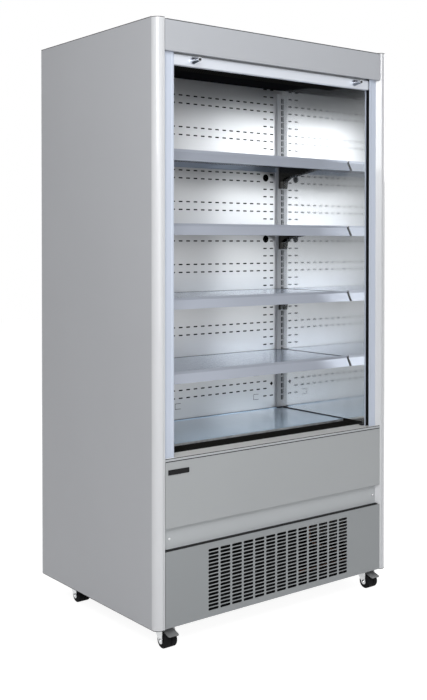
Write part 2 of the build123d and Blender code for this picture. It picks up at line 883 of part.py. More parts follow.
# --- Castors ----------------------------------------------------------------------------
def castor_mount(x, y):
    """Plate under the base pan, with the riveted kingpin."""
    half = castor_plate / 2
    plate_z = base_z - castor_plate_thickness
    pin_end = plate_z - fork_top_gap - fork_crown - fork_top_gap
    plate = block((x - half, x + half), (y - half, y + half), (plate_z, base_z))
    pin = rod((x, y, plate_z), (x, y, pin_end), kingpin_diameter)
    head = rod((x, y, pin_end), (x, y, pin_end - kingpin_head_height), kingpin_head)
    return plate + pin + head


def castor_fork(x, y):
    """Crown that turns on the kingpin, two legs and the axle."""
    crown_top = base_z - castor_plate_thickness - fork_top_gap
    crown_low = crown_top - fork_crown
    inner = wheel_width / 2 + fork_gap
    outer = inner + fork_leg
    axle_y = y - castor_trail
    crown = block((x - outer, x + outer), (y - 12, y + 18), (crown_low, crown_top))
    crown = fillet(crown.edges().filter_by(Axis.Z), 6)
    crown -= rod((x, y, crown_low - 1), (x, y, crown_top + 1), kingpin_diameter + 2 * running_gap)
    leg = [(axle_y - 3, crown_top), (y + 14, crown_top), (y + 14, crown_low - 2),
           (axle_y + 8, wheel_radius - 4), (axle_y - 8, wheel_radius - 4), (axle_y - 8, wheel_radius + 24)]
    fork = crown
    for side in (-1, 1):
        x_span = sorted((x + side * inner, x + side * outer))
        fork += prism_x(leg, *x_span)
        fork += rod((x_span[0], axle_y, wheel_radius), (x_span[1], axle_y, wheel_radius), 20)
    pivot = pedal_pivot(y)
    fork -= rod((x - outer - 1, *pivot), (x + outer + 1, *pivot), pedal_pin + 2 * running_gap)
    return fork + rod((x - outer, axle_y, wheel_radius), (x + outer, axle_y, wheel_radius), axle_diameter)


def pedal_pivot(y):
    """Place of the brake pedal's pin, in y and z."""
    return y - castor_trail + pedal_back, wheel_radius + pedal_rise


def castor_wheel(x, y):
    """Twin wheel with a groove round its middle."""
    axle_y = y - castor_trail
    half = wheel_width / 2
    wheel = rod((x - half, axle_y, wheel_radius), (x + half, axle_y, wheel_radius), wheel_diameter)
    wheel = fillet(wheel.edges().filter_by(GeomType.CIRCLE), 3)
    ring = rod((x - wheel_groove / 2, axle_y, wheel_radius), (x + wheel_groove / 2, axle_y, wheel_radius),
               wheel_diameter + 2)
    ring -= rod((x - wheel_groove, axle_y, wheel_radius), (x + wheel_groove, axle_y, wheel_radius),
                wheel_diameter - 2 * wheel_groove_depth)
    bore = rod((x - half - 1, axle_y, wheel_radius), (x + half + 1, axle_y, wheel_radius),
               axle_diameter + 2 * running_gap)
    return wheel - ring - bore


def brake_lever(x, y):
    """Pedal that turns on a pin between the fork's legs."""
    pivot_y, pivot_z = pedal_pivot(y)
    half = pedal_width / 2
    outer = wheel_width / 2 + fork_gap + fork_leg
    plate = Pos(0, -pedal_length / 2, 0) * Box(pedal_width, pedal_length, pedal_thickness)
    front = plate.edges().filter_by(Axis.Z).group_by(Axis.Y)[0]
    plate = fillet(front, 6)
    plate = Pos(x, pivot_y, pivot_z) * Rot(pedal_tilt, 0, 0) * plate
    hub = rod((x - half, pivot_y, pivot_z), (x + half, pivot_y, pivot_z), pedal_hub)
    pin = rod((x - outer, pivot_y, pivot_z), (x + outer, pivot_y, pivot_z), pedal_pin)
    return plate + hub + pin


# --- Base and machine compartment -------------------------------------------------------------
def base_frame():
    """Base pan with turned-up edges, two rear posts and the four castor mounts."""
    inner_corner = half_width - flank_end - joint_gap
    front = panel_y + sheet + panel_return + joint_gap
    back = foam_back_y
    side_front = profile_back + joint_gap
    pan_top = base_z + base_sheet + base_flange
    pan = block((-core_outer, core_outer), (side_front, back), (base_z, pan_top))
    pan += block((-inner_corner, inner_corner), (front, side_front + 1), (base_z, pan_top))
    hollow = block((-core_outer + base_sheet, core_outer - base_sheet),
                   (side_front + base_sheet, back - base_sheet), (base_z + base_sheet, pan_top))
    hollow += block((-inner_corner + base_sheet, inner_corner - base_sheet),
                    (front + base_sheet, side_front + 2 * base_sheet), (base_z + base_sheet, pan_top))
    pan -= hollow
    post_face = outline([
        (core_outer - base_sheet, back - base_sheet), (core_outer - base_sheet, back - post),
        (core_outer - 2 * base_sheet, back - post), (core_outer - 2 * base_sheet, back - 2 * base_sheet),
        (core_outer - post, back - 2 * base_sheet), (core_outer - post, back - base_sheet)])
    rear_post = prism_z(post_face, base_z + base_sheet, floor_bottom)
    mounts = [castor_mount(side * castor_x, y) for side in (-1, 1) for y in (castor_front_y, castor_rear_y)]
    return [pan, rear_post, left(rear_post), *mounts]


def compressor():
    """Hermetic compressor on four rubber-footed lugs, with its stubs and terminal box."""
    radius = compressor_diameter / 2
    foot_z = base_z + base_sheet
    pot_z = foot_z + foot_height + 4
    pot = rod((compressor_x, compressor_y, pot_z),
              (compressor_x, compressor_y, pot_z + compressor_height), compressor_diameter)
    rims = pot.edges().filter_by(GeomType.CIRCLE).sort_by(Axis.Z)
    pot = fillet(rims[-1], radius * 0.7)
    middle = pot_z + compressor_height * 0.4
    pot += rod((compressor_x, compressor_y, middle), (compressor_x, compressor_y, middle + 6),
               compressor_diameter + 8)
    lug = radius + 5
    plate = block((compressor_x - lug, compressor_x + lug), (compressor_y - lug, compressor_y + lug),
                  (pot_z - 4, pot_z))
    pot += fillet(plate.edges().filter_by(Axis.Z), 15)
    for across in (-1, 1):
        for along in (-1, 1):
            foot = (compressor_x + across * (lug - 14), compressor_y + along * (lug - 14))
            pot += rod((*foot, foot_z), (*foot, pot_z - 4), 22)
    pot += rod((discharge_start, compressor_y, discharge_z), (compressor_x, compressor_y, discharge_z),
               compressor_stub_diameter)
    pot += rod((suction_end, compressor_y, suction_z), (compressor_x, compressor_y, suction_z),
               compressor_stub_diameter)
    return pot + block((compressor_x - 30, compressor_x + 30), (compressor_y + radius - 20,
                       compressor_y + radius + 28), (middle + 12, middle + 70))


def return_bend(x, y, z, direction):
    """Half-round bend that joins two tubes one pitch apart."""
    start = Plane(origin=(x, y, z + tube_pitch / 2), z_dir=(1, 0, 0)) * Circle(tube_diameter / 2)
    return revolve(start, Axis((x, y, z), (0, 1, 0)), 180 * direction)


def finned_coil(x_span, y_span, z_span, fin_pitch):
    """Fin pack on tubes along x, with return bends, end plates and two headers."""
    rows = 2 * int((z_span[1] - z_span[0]) // (2 * tube_pitch))
    columns = int((y_span[1] - y_span[0]) // tube_pitch)
    centre_y = sum(y_span) / 2
    centre_z = sum(z_span) / 2
    ys = [centre_y + (column - (columns - 1) / 2) * tube_pitch for column in range(columns)]
    zs = [centre_z + (row - (rows - 1) / 2) * tube_pitch for row in range(rows)]
    holes = [circle_at(tube_diameter, y, z) for y in ys for z in zs]
    face = Plane.YZ * holed_face(y_span, z_span, holes)
    count = int((x_span[1] - x_span[0]) // fin_pitch)
    first = (sum(x_span) - (count - 1) * fin_pitch) / 2
    fins = [extrude(Pos(first + number * fin_pitch, 0, 0) * face, fin_sheet)
            for number in range(1, count - 1)]
    plates = [extrude(Pos(x, 0, 0) * face, sheet) for x in (x_span[0], x_span[1] - sheet)]
    tube_x = (x_span[0] - coil_tube_end, x_span[1] + coil_tube_end)
    tubes = [rod((tube_x[0], y, z), (tube_x[1], y, z), tube_diameter) for y in ys for z in zs]
    near = [return_bend(tube_x[0], y, (zs[row] + zs[row + 1]) / 2, -1)
            for y in ys for row in range(0, rows, 2)]
    far = [return_bend(tube_x[1], y, (zs[row] + zs[row + 1]) / 2, 1)
           for y in ys for row in range(1, rows - 1, 2)]
    header_x = tube_x[1] + coil_header / 2
    headers = [rod((header_x, ys[0] - 8, z), (header_x, ys[-1] + 8, z), coil_header)
               for z in (zs[0], zs[-1])]
    return fins + plates + tubes + near + far + headers


def ring_plate_holes(fan_diameter, xs, z):
    """Round openings for fans in a plate."""
    return [circle_at(fan_diameter + 2 * fan_ring_gap, x, z) for x in xs]


def fan_motor(x, plate_y, z, fan_diameter):
    """Motor behind a ring plate, on three bars, bored for the fan's shaft."""
    front = plate_y + fan_hub_length / 2 + motor_gap
    back = front + motor_length
    reach = fan_diameter / 2 + fan_ring_gap + 8
    motor = rod((x, front, z), (x, back, z), motor_diameter)
    motor = fillet(motor.edges().filter_by(GeomType.CIRCLE).sort_by(Axis.Y)[-1], 8)
    for number in range(3):
        arm = block((0, reach), (back - 14, back - 11), (-5, 5))
        arm += block((reach - 5, reach), (plate_y + sheet, back - 11), (-5, 5))
        motor += Pos(x, 0, z) * Rot(0, 90 + 120 * number, 0) * arm
    bore_end = front + fan_shaft_length - motor_gap + 1
    return motor - rod((x, front - 1, z), (x, bore_end, z), fan_shaft + 2 * running_gap)


def axial_fan(x, plate_y, z, fan_diameter, blades):
    """Fan with pitched blades and its shaft, turning about y."""
    radius = fan_diameter / 2
    root_turn = radians(42)
    tip_turn = radians(24)
    root = Plane(origin=(fan_hub / 2 - 3, 0, 0), x_dir=(0, cos(root_turn), sin(root_turn)),
                 z_dir=(1, 0, 0)) * Rectangle(fan_hub_length * 1.1, 2)
    tip = Plane(origin=(radius, 0, 0), x_dir=(0, cos(tip_turn), sin(tip_turn)),
                z_dir=(1, 0, 0)) * Rectangle(radius * 0.62, 2)
    blade = loft([root, tip]) & Cylinder(radius, fan_hub_length * 2)
    fan = Cylinder(fan_hub / 2, fan_hub_length)
    for number in range(blades):
        fan += Rot(0, 0, 360 * number / blades) * blade
    shaft_top = -fan_hub_length / 2
    fan += rod((0, 0, shaft_top), (0, 0, shaft_top - fan_shaft_length), fan_shaft)
    return Pos(x, plate_y, z) * Rot(90, 0, 0) * fan


def condenser_shroud():
    """Fan plate with side flanges against the condenser, and the fan motor."""
    z_middle = sum(condenser_z) / 2
    holes = ring_plate_holes(condenser_fan_diameter, [condenser_fan_x], z_middle)
    face = front_sheet(holed_face(condenser_x, condenser_z, holes), condenser_plate_y, sheet)
    y_span = (condenser_y[1], condenser_plate_y)
    sides = [block((x, x + sheet), y_span, condenser_z) for x in (condenser_x[0], condenser_x[1] - sheet)]
    ends = [block(condenser_x, y_span, (z, z + sheet)) for z in (condenser_z[0], condenser_z[1] - sheet)]
    plate = face + sides[0] + sides[1] + ends[0] + ends[1]
    feet = [block((x, x + 30), (condenser_plate_y, condenser_plate_y + sheet),
                  (base_z + base_sheet, condenser_z[0])) for x in (condenser_x[0], condenser_x[1] - 30)]
    motor = fan_motor(condenser_fan_x, condenser_plate_y, z_middle, condenser_fan_diameter)
    return plate + feet[0] + feet[1] + motor


def evaporator_fan_plate():
    """Divider under the deck with two fan rings, motors and a ledge for the grille."""
    half = opening_half - joint_gap
    top = deck_top - sill_sheet
    low = grille_bottom - sill_sheet
    plate_back = evaporator_plate_y + sheet
    riser = deck_front + sheet
    ledge_face = [(deck_front - ledge, low), (riser, low), (riser, top - sheet),
                  (plate_back, top - sheet), (plate_back, top), (deck_front, top),
                  (deck_front, grille_bottom), (deck_front - ledge, grille_bottom)]
    flange = prism_x(ledge_face, -half, half)
    z_middle = (floor_top + liner + top) / 2
    xs = [-evaporator_fan_x, evaporator_fan_x]
    holes = ring_plate_holes(evaporator_fan_diameter, xs, z_middle)
    face = holed_face((-half, half), (floor_top + liner, top - sheet), holes)
    divider = front_sheet(face, evaporator_plate_y, sheet)
    plate = flange + divider
    for x in xs:
        plate += fan_motor(x, evaporator_plate_y, z_middle, evaporator_fan_diameter)
    return plate


def evaporator_feet():
    """Two angles that hold the evaporator off the floor."""
    z_span = (floor_top + liner, floor_top + liner + evaporator_rise[0])
    return [block((x, x + 20), evaporator_y, z_span) for x in (-evaporator_half, evaporator_half - 20)]


def pipe(points):
    """Round pipe through the points, with equal bends."""
    path = FilletPolyline(*points, radius=pipe_bend)
    start = Plane(origin=path @ 0, z_dir=path % 0)
    return sweep(start * Circle(pipe_diameter / 2), path=path)


def drip_tray():
    """Open tray for the melted frost, and the drain pipe that feeds it."""
    bottom = base_z + base_sheet
    height = 50
    tray_wall = 2
    x_span = (drain_x - 60, drain_x + 80)
    y_span = (drain_y - 130, drain_y + 130)
    tray = block(x_span, y_span, (bottom, bottom + height))
    tray = fillet(tray.edges().filter_by(Axis.Z), 12)
    inner_x = (x_span[0] + tray_wall, x_span[1] - tray_wall)
    inner_y = (y_span[0] + tray_wall, y_span[1] - tray_wall)
    tray -= block(inner_x, inner_y, (bottom + tray_wall, bottom + height))
    drain = rod((drain_x, drain_y, bottom + height - 10), (drain_x, drain_y, floor_top + liner),
                drain_bore - 2)
    drain -= rod((drain_x, drain_y, bottom), (drain_x, drain_y, floor_top + 3), drain_bore - 6)
    return [tray, drain]


def control_box():
    """Electrical box at the rear, with its lid and the cable gland through the back sheet."""
    x_span = (gland_x - 60, gland_x + 70)
    z_span = (base_z + base_sheet, gland_z + 120)
    back = depth - 2 * sheet - joint_gap - post
    front = back - 120
    box = block(x_span, (front, back), z_span)
    lid = block(x_span, (front - 3, front), z_span)
    body = rod((gland_x, back, gland_z), (gland_x, depth, gland_z), gland_bore - 2 * joint_gap)
    nut = rod((gland_x, depth, gland_z), (gland_x, depth + gland_reach, gland_z), gland_bore + 10)
    nut = fillet(nut.edges().filter_by(GeomType.CIRCLE).sort_by(Axis.Y)[-1], 2)
    entry = rod((gland_x, back, gland_z), (gland_x, depth + gland_reach, gland_z), cord_hole)
    gland = body + nut - entry
    return [box, fillet(lid.edges().filter_by(Axis.Y), 6), gland]


def coil_tube_levels(z_span):
    """Heights of a coil's lowest and highest tubes."""
    rows = 2 * int((z_span[1] - z_span[0]) // (2 * tube_pitch))
    middle = sum(z_span) / 2
    return middle - (rows - 1) / 2 * tube_pitch, middle + (rows - 1) / 2 * tube_pitch


def refrigerant_pipes():
    """Discharge, suction and liquid pipes between the compressor and the two coils."""
    condenser_end = condenser_x[1] + coil_reach
    evaporator_end = evaporator_half + coil_reach
    condenser_low, condenser_high = coil_tube_levels(condenser_z)
    evaporator_low = coil_tube_levels(evaporator_z())[0]
    condenser_middle = sum(condenser_y) / 2
    high_z = floor_bottom - 30
    turn_x = condenser_end + 45
    side_x = discharge_start - 35
    discharge = pipe([
        (discharge_start, compressor_y, discharge_z), (side_x, compressor_y, discharge_z),
        (side_x, compressor_y, high_z), (side_x, 280, high_z), (turn_x, 280, high_z),
        (turn_x, condenser_middle, high_z), (turn_x, condenser_middle, condenser_high),
        (condenser_end, condenser_middle, condenser_high)])
    suction = pipe([
        (evaporator_end, compressor_y, evaporator_low), (suction_x, compressor_y, evaporator_low),
        (suction_x, compressor_y, suction_z), (suction_end, compressor_y, suction_z)])
    liquid = pipe([
        (condenser_end, condenser_middle, condenser_low), (liquid_x, condenser_middle, condenser_low),
        (liquid_x, liquid_y, condenser_low), (liquid_x, liquid_y, evaporator_low),
        (evaporator_end, liquid_y, evaporator_low)])
    return [discharge, suction, liquid]


def evaporator_z():
    """Heights of the evaporator's underside and top."""
    return tuple(floor_top + liner + rise for rise in evaporator_rise)


# --- Write the sub-parts ----------------------------------------------------------------------
def write_shell():
    for node, piece in (("side_panel", side_panel()), ("inner_wall", inner_wall()),
                        ("corner_profile", corner_profile()), ("jamb", jamb())):
        save(f"{node}_right", piece)
        save(f"{node}_left", left(piece))
    caps = end_caps()
    save("profile_end_caps", *caps, *[left(cap) for cap in caps])
    save("foam_core", *foam_blocks())
    save("rear_panel", rear_panel())
    save("rear_liner", rear_liner())
    save("floor_liner", floor_liner())
    save("roof_panel", roof_panel())
    save("base_frame", *base_frame())


def write_front():
    save("header_panel", folded_panel(header_bottom, header_top, lip_return, panel_return))
    save("front_apron", folded_panel(apron_bottom, apron_top, panel_return, panel_return))
    save("louvre_panel", folded_panel(body_bottom, louvre_top, panel_return, lip_return, louvre_slots()))
    save("badge_plate", badge_plate())
    save("service_strip", service_strip())
    save("strip_screws", strip_screw(-1), strip_screw(1))
    save("front_sill", front_sill())
    save("return_air_grille", return_air_grille())


def write_display():
    save("duct_panels", lower_duct_panel(), upper_duct_panel())
    save("canopy_ceiling", *canopy_ceiling())
    save("air_honeycomb", air_honeycomb())
    save("light_tube", light_tube())
    save("shelf_uprights", upright(), left(upright()))
    brackets = [shelf_bracket(rail_top) for rail_top in rail_tops]
    save("shelf_brackets", *brackets, *[left(bracket) for bracket in brackets])
    for number, rail_top in enumerate(rail_tops, 1):
        save(f"shelf_{number}", shelf_tray(rail_top), *ticket_rail(rail_top))
    save("deck_tray", deck_tray())


def write_blind():
    fixed = [blind_guide(), roller_bracket(), sill_stop()]
    save("blind_guides", *fixed, *[left(piece) for piece in fixed])
    save("blind_bar", blind_bar(), bar_end(), left(bar_end()))
    save("blind_knobs", *blind_knob(-1), *blind_knob(1))
    save("blind_roller", *blind_roller())
    save("blind_curtain", blind_curtain())


def write_castors():
    for side_name, side in (("left", -1), ("right", 1)):
        for end_name, y in (("front", castor_front_y), ("rear", castor_rear_y)):
            name = f"{end_name}_{side_name}"
            save(f"castor_fork_{name}", castor_fork(side * castor_x, y))
            save(f"castor_wheel_{name}", castor_wheel(side * castor_x, y))
        save(f"brake_lever_{side_name}", brake_lever(side * castor_x, castor_front_y))


def write_cooling():
    save("compressor", compressor())
    save("condenser_coil", *finned_coil(condenser_x, condenser_y, condenser_z, 10))
    save("condenser_shroud", condenser_shroud())
    fan_z = sum(condenser_z) / 2
    save("condenser_fan", axial_fan(condenser_fan_x, condenser_plate_y, fan_z, condenser_fan_diameter, 5))
    save("evaporator_coil", *finned_coil((-evaporator_half, evaporator_half), evaporator_y,
                                         evaporator_z(), 16), *evaporator_feet())
    save("evaporator_fan_plate", evaporator_fan_plate())
    fan_z = (floor_top + liner + deck_top - sill_sheet) / 2
    for name, side in (("left", -1), ("right", 1)):
        save(f"evaporator_fan_{name}", axial_fan(side * evaporator_fan_x, evaporator_plate_y, fan_z,
                                                 evaporator_fan_diameter, 5))
    save("refrigerant_pipes", *refrigerant_pipes())
    save("drip_tray", *drip_tray())
    save("control_box", *control_box())


os.makedirs("parts", exist_ok=True)
write_shell()
write_front()
write_display()
write_blind()
write_castors()
write_cooling()
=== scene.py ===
from math import ceil, cos, pi, radians, sin, sqrt

import bmesh
import bpy
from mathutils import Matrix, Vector


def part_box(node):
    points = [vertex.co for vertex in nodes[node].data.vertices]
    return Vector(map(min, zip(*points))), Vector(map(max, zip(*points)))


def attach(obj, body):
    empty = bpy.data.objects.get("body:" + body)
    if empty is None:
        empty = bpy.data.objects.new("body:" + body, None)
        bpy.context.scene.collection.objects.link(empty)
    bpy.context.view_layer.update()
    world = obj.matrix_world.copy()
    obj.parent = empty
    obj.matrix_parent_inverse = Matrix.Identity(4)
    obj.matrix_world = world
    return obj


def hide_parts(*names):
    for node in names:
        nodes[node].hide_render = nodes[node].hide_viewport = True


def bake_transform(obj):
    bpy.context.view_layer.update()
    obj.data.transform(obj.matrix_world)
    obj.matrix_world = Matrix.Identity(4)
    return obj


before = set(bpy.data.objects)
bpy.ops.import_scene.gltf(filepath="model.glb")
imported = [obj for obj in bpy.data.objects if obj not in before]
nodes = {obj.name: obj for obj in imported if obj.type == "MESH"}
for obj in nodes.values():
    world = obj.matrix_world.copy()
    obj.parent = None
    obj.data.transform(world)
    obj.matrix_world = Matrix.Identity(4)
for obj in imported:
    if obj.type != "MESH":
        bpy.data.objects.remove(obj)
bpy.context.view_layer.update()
scene = bpy.context.scene

# Open multideck display fridge. Metres, +X right, +Y back, +Z up. The solids come from the
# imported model. This script gives them their finishes and adds the finer pieces.

# --- Sizes the added pieces share with the solids --------------------------------------------------
opening_half = 0.450          # middle to the inner side wall
back_wall_y = 0.153
upright_depth = 0.010         # trays are cut out by this much for the shelf uprights
tray_notch = 0.422            # middle to the side of that cut-out
rail_above_tray = 0.005
rail_front_y = -0.2231        # the ticket rails lie in front of this
rail_cap_x = 0.4439           # their end caps lie further out than this
knob_plug_y = -0.37655        # the knobs' plugs lie in front of this
castor_plate_top = 0.0674     # the castors' plates and kingpins lie below this
sill_shade_line_z = (0.5893, 0.5919)  # painted shade line under the sill's nosing, bottom and top
coil_middle_y, coil_middle_z = 0.055, 0.4797
roller_y, roller_z = -0.307, 1.9047
roll_radius = 0.02045         # middle of the outermost turn of cloth
core_radius = 0.01435         # middle of the innermost turn
cloth_pitch = 0.0005
cloth_thickness = 0.00042
cloth_half = 0.432
bar_top = 1.8670
castor_x = 0.456
castor_y = {"front": -0.306, "rear": 0.220}
axle_trail, axle_z = 0.022, 0.025
fork_half = 0.0265            # castor's middle to the outside of a fork leg
gap_shade_half = 0.4734          # painted shade strip in the gap above the louvred panel
gap_shade_y = (-0.3565, -0.3436)
gap_shade_z = (0.3096, 0.3136)
screw_radius, screw_height = 0.0042, 0.0018


# --- Node helpers ----------------------------------------------------------------------------------
def node(tree, kind, inputs=None, **settings):
    """Add one node; inputs are plain values or sockets to link from."""
    made = tree.nodes.new(kind)
    for name, value in settings.items():
        setattr(made, name, value)
    for key, value in (inputs or {}).items():
        if isinstance(value, bpy.types.NodeSocket):
            tree.links.new(value, made.inputs[key])
        else:
            made.inputs[key].default_value = value
    return made


def shader_group(name, inputs, outputs):
    """Start a shader group and return its tree, its inputs and its output node."""
    tree = bpy.data.node_groups.new(name, "ShaderNodeTree")
    kinds = {"vector": "NodeSocketVector", "colour": "NodeSocketColor", "value": "NodeSocketFloat"}
    for label, kind in inputs:
        tree.interface.new_socket(label, in_out="INPUT", socket_type=kinds[kind])
    for label, kind in outputs:
        tree.interface.new_socket(label, in_out="OUTPUT", socket_type=kinds[kind])
    return tree, tree.nodes.new("NodeGroupInput").outputs, tree.nodes.new("NodeGroupOutput")


def noise(tree, vector, scale, detail=2.0):
    """Noise value in the range 0 to 1."""
    return node(tree, "ShaderNodeTexNoise", {"Vector": vector, "Scale": scale, "Detail": detail}
                ).outputs["Fac"]


def spread(tree, value, low, high, from_low=0.3, from_high=0.7):
    """Move a value from one range to another."""
    return node(tree, "ShaderNodeMapRange", {"Value": value, "From Min": from_low, "From Max": from_high,
                                             "To Min": low, "To Max": high}).outputs["Result"]


def stretched(tree, vector, scale):
    """Coordinates scaled by a different amount along each axis."""
    return node(tree, "ShaderNodeMapping", {"Vector": vector, "Scale": scale}).outputs["Vector"]


def times(tree, colour, value):
    """Colour multiplied by a value."""
    return node(tree, "ShaderNodeVectorMath", {0: colour, "Scale": value}, operation="SCALE").outputs[0]


def math_value(tree, operation, first, second=0.0):
    """Result of one sum on two values."""
    return node(tree, "ShaderNodeMath", {0: first, 1: second}, operation=operation).outputs[0]


def bump(tree, height, strength, distance):
    """Normal raised by a height value."""
    return node(tree, "ShaderNodeBump", {"Height": height, "Strength": strength, "Distance": distance}
                ).outputs["Normal"]


# --- Shared surface effects ------------------------------------------------------------------------
finish_inputs = [("Vector", "vector"), ("Colour", "colour"), ("Roughness", "value")]
finish_outputs = [("Colour", "colour"), ("Roughness", "value"), ("Normal", "vector")]


def close_group(tree, target, colour, roughness, normal):
    """Link a finish's three results to its output node."""
    for label, socket in (("Colour", colour), ("Roughness", roughness), ("Normal", normal)):
        tree.links.new(socket, target.inputs[label])
    return tree


def powder_coat_group():
    """Faint cloudiness, orange peel and uneven gloss of baked paint."""
    tree, given, target = shader_group("powder_coat", finish_inputs, finish_outputs)
    cloud = spread(tree, noise(tree, given["Vector"], 2.4), 0.985, 1.012)
    peel = noise(tree, given["Vector"], 480, 1.0)
    gloss = spread(tree, noise(tree, given["Vector"], 16), -0.012, 0.012)
    return close_group(tree, target, times(tree, given["Colour"], cloud),
                       math_value(tree, "ADD", given["Roughness"], gloss),
                       bump(tree, peel, 0.05, 0.0004))


def brushed_group():
    """Fine lines along x, with slow changes of tone."""
    tree, given, target = shader_group("brushed_lines", finish_inputs, finish_outputs)
    lines = noise(tree, stretched(tree, given["Vector"], (3, 620, 620)), 1.0, 3.0)
    tone = math_value(tree, "MULTIPLY", spread(tree, lines, 0.985, 1.012),
                      spread(tree, noise(tree, given["Vector"], 3), 0.97, 1.02))
    gloss = spread(tree, lines, -0.02, 0.03)
    return close_group(tree, target, times(tree, given["Colour"], tone),
                       math_value(tree, "ADD", given["Roughness"], gloss),
                       bump(tree, lines, 0.02, 0.0002))


def mirror_group():
    """Slow waves and faint wiping marks of polished sheet."""
    tree, given, target = shader_group("polished_sheet", finish_inputs, finish_outputs)
    waves = noise(tree, stretched(tree, given["Vector"], (1, 1.6, 0.7)), 2.5, 1.0)
    marks = noise(tree, stretched(tree, given["Vector"], (6, 6, 1.2)), 4, 4.0)
    return close_group(tree, target, times(tree, given["Colour"], spread(tree, marks, 0.96, 1.0)),
                       math_value(tree, "ADD", given["Roughness"], spread(tree, marks, 0.0, 0.05)),
                       bump(tree, waves, 0.25, 0.002))


def galvanised_group():
    """Zinc spangle: patches of slightly different tone and gloss."""
    tree, given, target = shader_group("zinc_spangle", finish_inputs, finish_outputs)
    cells = node(tree, "ShaderNodeTexVoronoi", {"Vector": given["Vector"], "Scale": 85.0})
    patch = node(tree, "ShaderNodeSeparateColor", {"Color": cells.outputs["Color"]}).outputs[0]
    return close_group(tree, target,
                       times(tree, given["Colour"], spread(tree, patch, 0.86, 1.06, 0.0, 1.0)),
                       math_value(tree, "ADD", given["Roughness"],
                                  spread(tree, patch, -0.06, 0.08, 0.0, 1.0)),
                       bump(tree, noise(tree, given["Vector"], 260), 0.06, 0.0003))


def moulded_group():
    """Fine grain of moulded plastic, rubber and foam."""
    tree, given, target = shader_group("moulded_grain", finish_inputs, finish_outputs)
    grain = noise(tree, given["Vector"], 900, 2.0)
    worn = noise(tree, given["Vector"], 22, 3.0)
    return close_group(tree, target, times(tree, given["Colour"], spread(tree, worn, 0.9, 1.12)),
                       math_value(tree, "ADD", given["Roughness"], spread(tree, worn, -0.05, 0.06)),
                       bump(tree, grain, 0.12, 0.0003))


def woven_group():
    """Threads of the blind's cloth, across and along."""
    tree, given, target = shader_group("woven_threads", finish_inputs, finish_outputs)
    threads = 5200
    parts = node(tree, "ShaderNodeSeparateXYZ", {"Vector": given["Vector"]}).outputs
    across = math_value(tree, "SINE", math_value(tree, "MULTIPLY", parts["X"], threads))
    along = math_value(tree, "SINE", math_value(tree, "MULTIPLY", parts["Z"], threads))
    weave = math_value(tree, "MULTIPLY", across, along)
    return close_group(tree, target,
                       times(tree, given["Colour"], spread(tree, weave, 0.9, 1.05, -1.0, 1.0)),
                       math_value(tree, "ADD", given["Roughness"], spread(tree, weave, 0, 0.1, -1.0, 1.0)),
                       bump(tree, weave, 0.2, 0.0002))


effects = {"powder": powder_coat_group(), "brushed": brushed_group(), "mirror": mirror_group(),
           "galvanised": galvanised_group(), "moulded": moulded_group(), "woven": woven_group()}


# --- Materials -------------------------------------------------------------------------------------
def surface(name, effect, colour, roughness, metallic=0.0, **sockets):
    """Material with one shared effect; other shader sockets are given by name."""
    made = bpy.data.materials.new(name)
    made.use_nodes = True
    tree = made.node_tree
    shader = tree.nodes["Principled BSDF"]
    group = node(tree, "ShaderNodeGroup", node_tree=effects[effect])
    place = tree.nodes.new("ShaderNodeTexCoord")
    tree.links.new(place.outputs["Object"], group.inputs["Vector"])
    group.inputs["Colour"].default_value = (*colour, 1)
    group.inputs["Roughness"].default_value = roughness
    tree.links.new(group.outputs["Colour"], shader.inputs["Base Color"])
    tree.links.new(group.outputs["Roughness"], shader.inputs["Roughness"])
    tree.links.new(group.outputs["Normal"], shader.inputs["Normal"])
    shader.inputs["Metallic"].default_value = metallic
    for label, value in sockets.items():
        shader.inputs[label.replace("_", " ")].default_value = value
    return made


body_paint = surface("body_paint", "powder", (0.43, 0.44, 0.465), 0.40)
# The header, apron, strip and louvre panel have the body's paint; their own tones are painted light and
# painted shade, set for how light falls on each.
header_paint_painted_light = surface("header_paint_painted_light", "powder", (0.41, 0.425, 0.455), 0.40)
apron_paint_painted_shade = surface("apron_paint_painted_shade", "powder", (0.365, 0.38, 0.39), 0.42)
# Lighter as painted light against the shade in the strip's recess; also used for the sill's nosing front,
# darker there as painted shade.
strip_paint_painted_light = surface("strip_paint_painted_light", "powder", (0.43, 0.45, 0.465), 0.42)
profile_white = surface("profile_white", "powder", (0.60, 0.61, 0.63), 0.30, Coat_Weight=0.4)
jamb_paint = surface("jamb_paint", "powder", (0.52, 0.57, 0.67), 0.34)
# Darker as painted shade, for the louvre panel's low place.
plinth_paint_painted_shade = surface("plinth_paint_painted_shade", "powder", (0.27, 0.285, 0.295), 0.42)
mirror_steel = surface("mirror_steel", "mirror", (0.95, 0.97, 0.98), 0.06, 0.84)
brushed_steel = surface("brushed_steel", "brushed", (0.60, 0.61, 0.625), 0.33, 0.85)
# The trays' stainless steel, tinted blue as a painted reflection.
tray_steel_painted_reflection = surface("tray_steel_painted_reflection", "brushed", (0.58, 0.68, 0.84), 0.22, 0.7)
# Painted shade: the trays' own steel, darkened to brown for their undersides.
tray_underside_painted_shade = surface("tray_underside_painted_shade", "brushed", (0.12, 0.10, 0.07), 0.26, 0.8,
                     Specular_Tint=(0.22, 0.20, 0.17, 1))
upright_steel = surface("upright_steel", "brushed", (0.50, 0.51, 0.53), 0.48, 0.5)
# Painted shade: the stainless brackets, darkened near black.
bracket_painted_shade = surface("bracket_painted_shade", "brushed", (0.05, 0.049, 0.046), 0.25, 1.0,
                        Specular_Tint=(0.2, 0.2, 0.2, 1))
rail_metal = surface("rail_metal", "powder", (0.31, 0.335, 0.39), 0.42, 0.45)
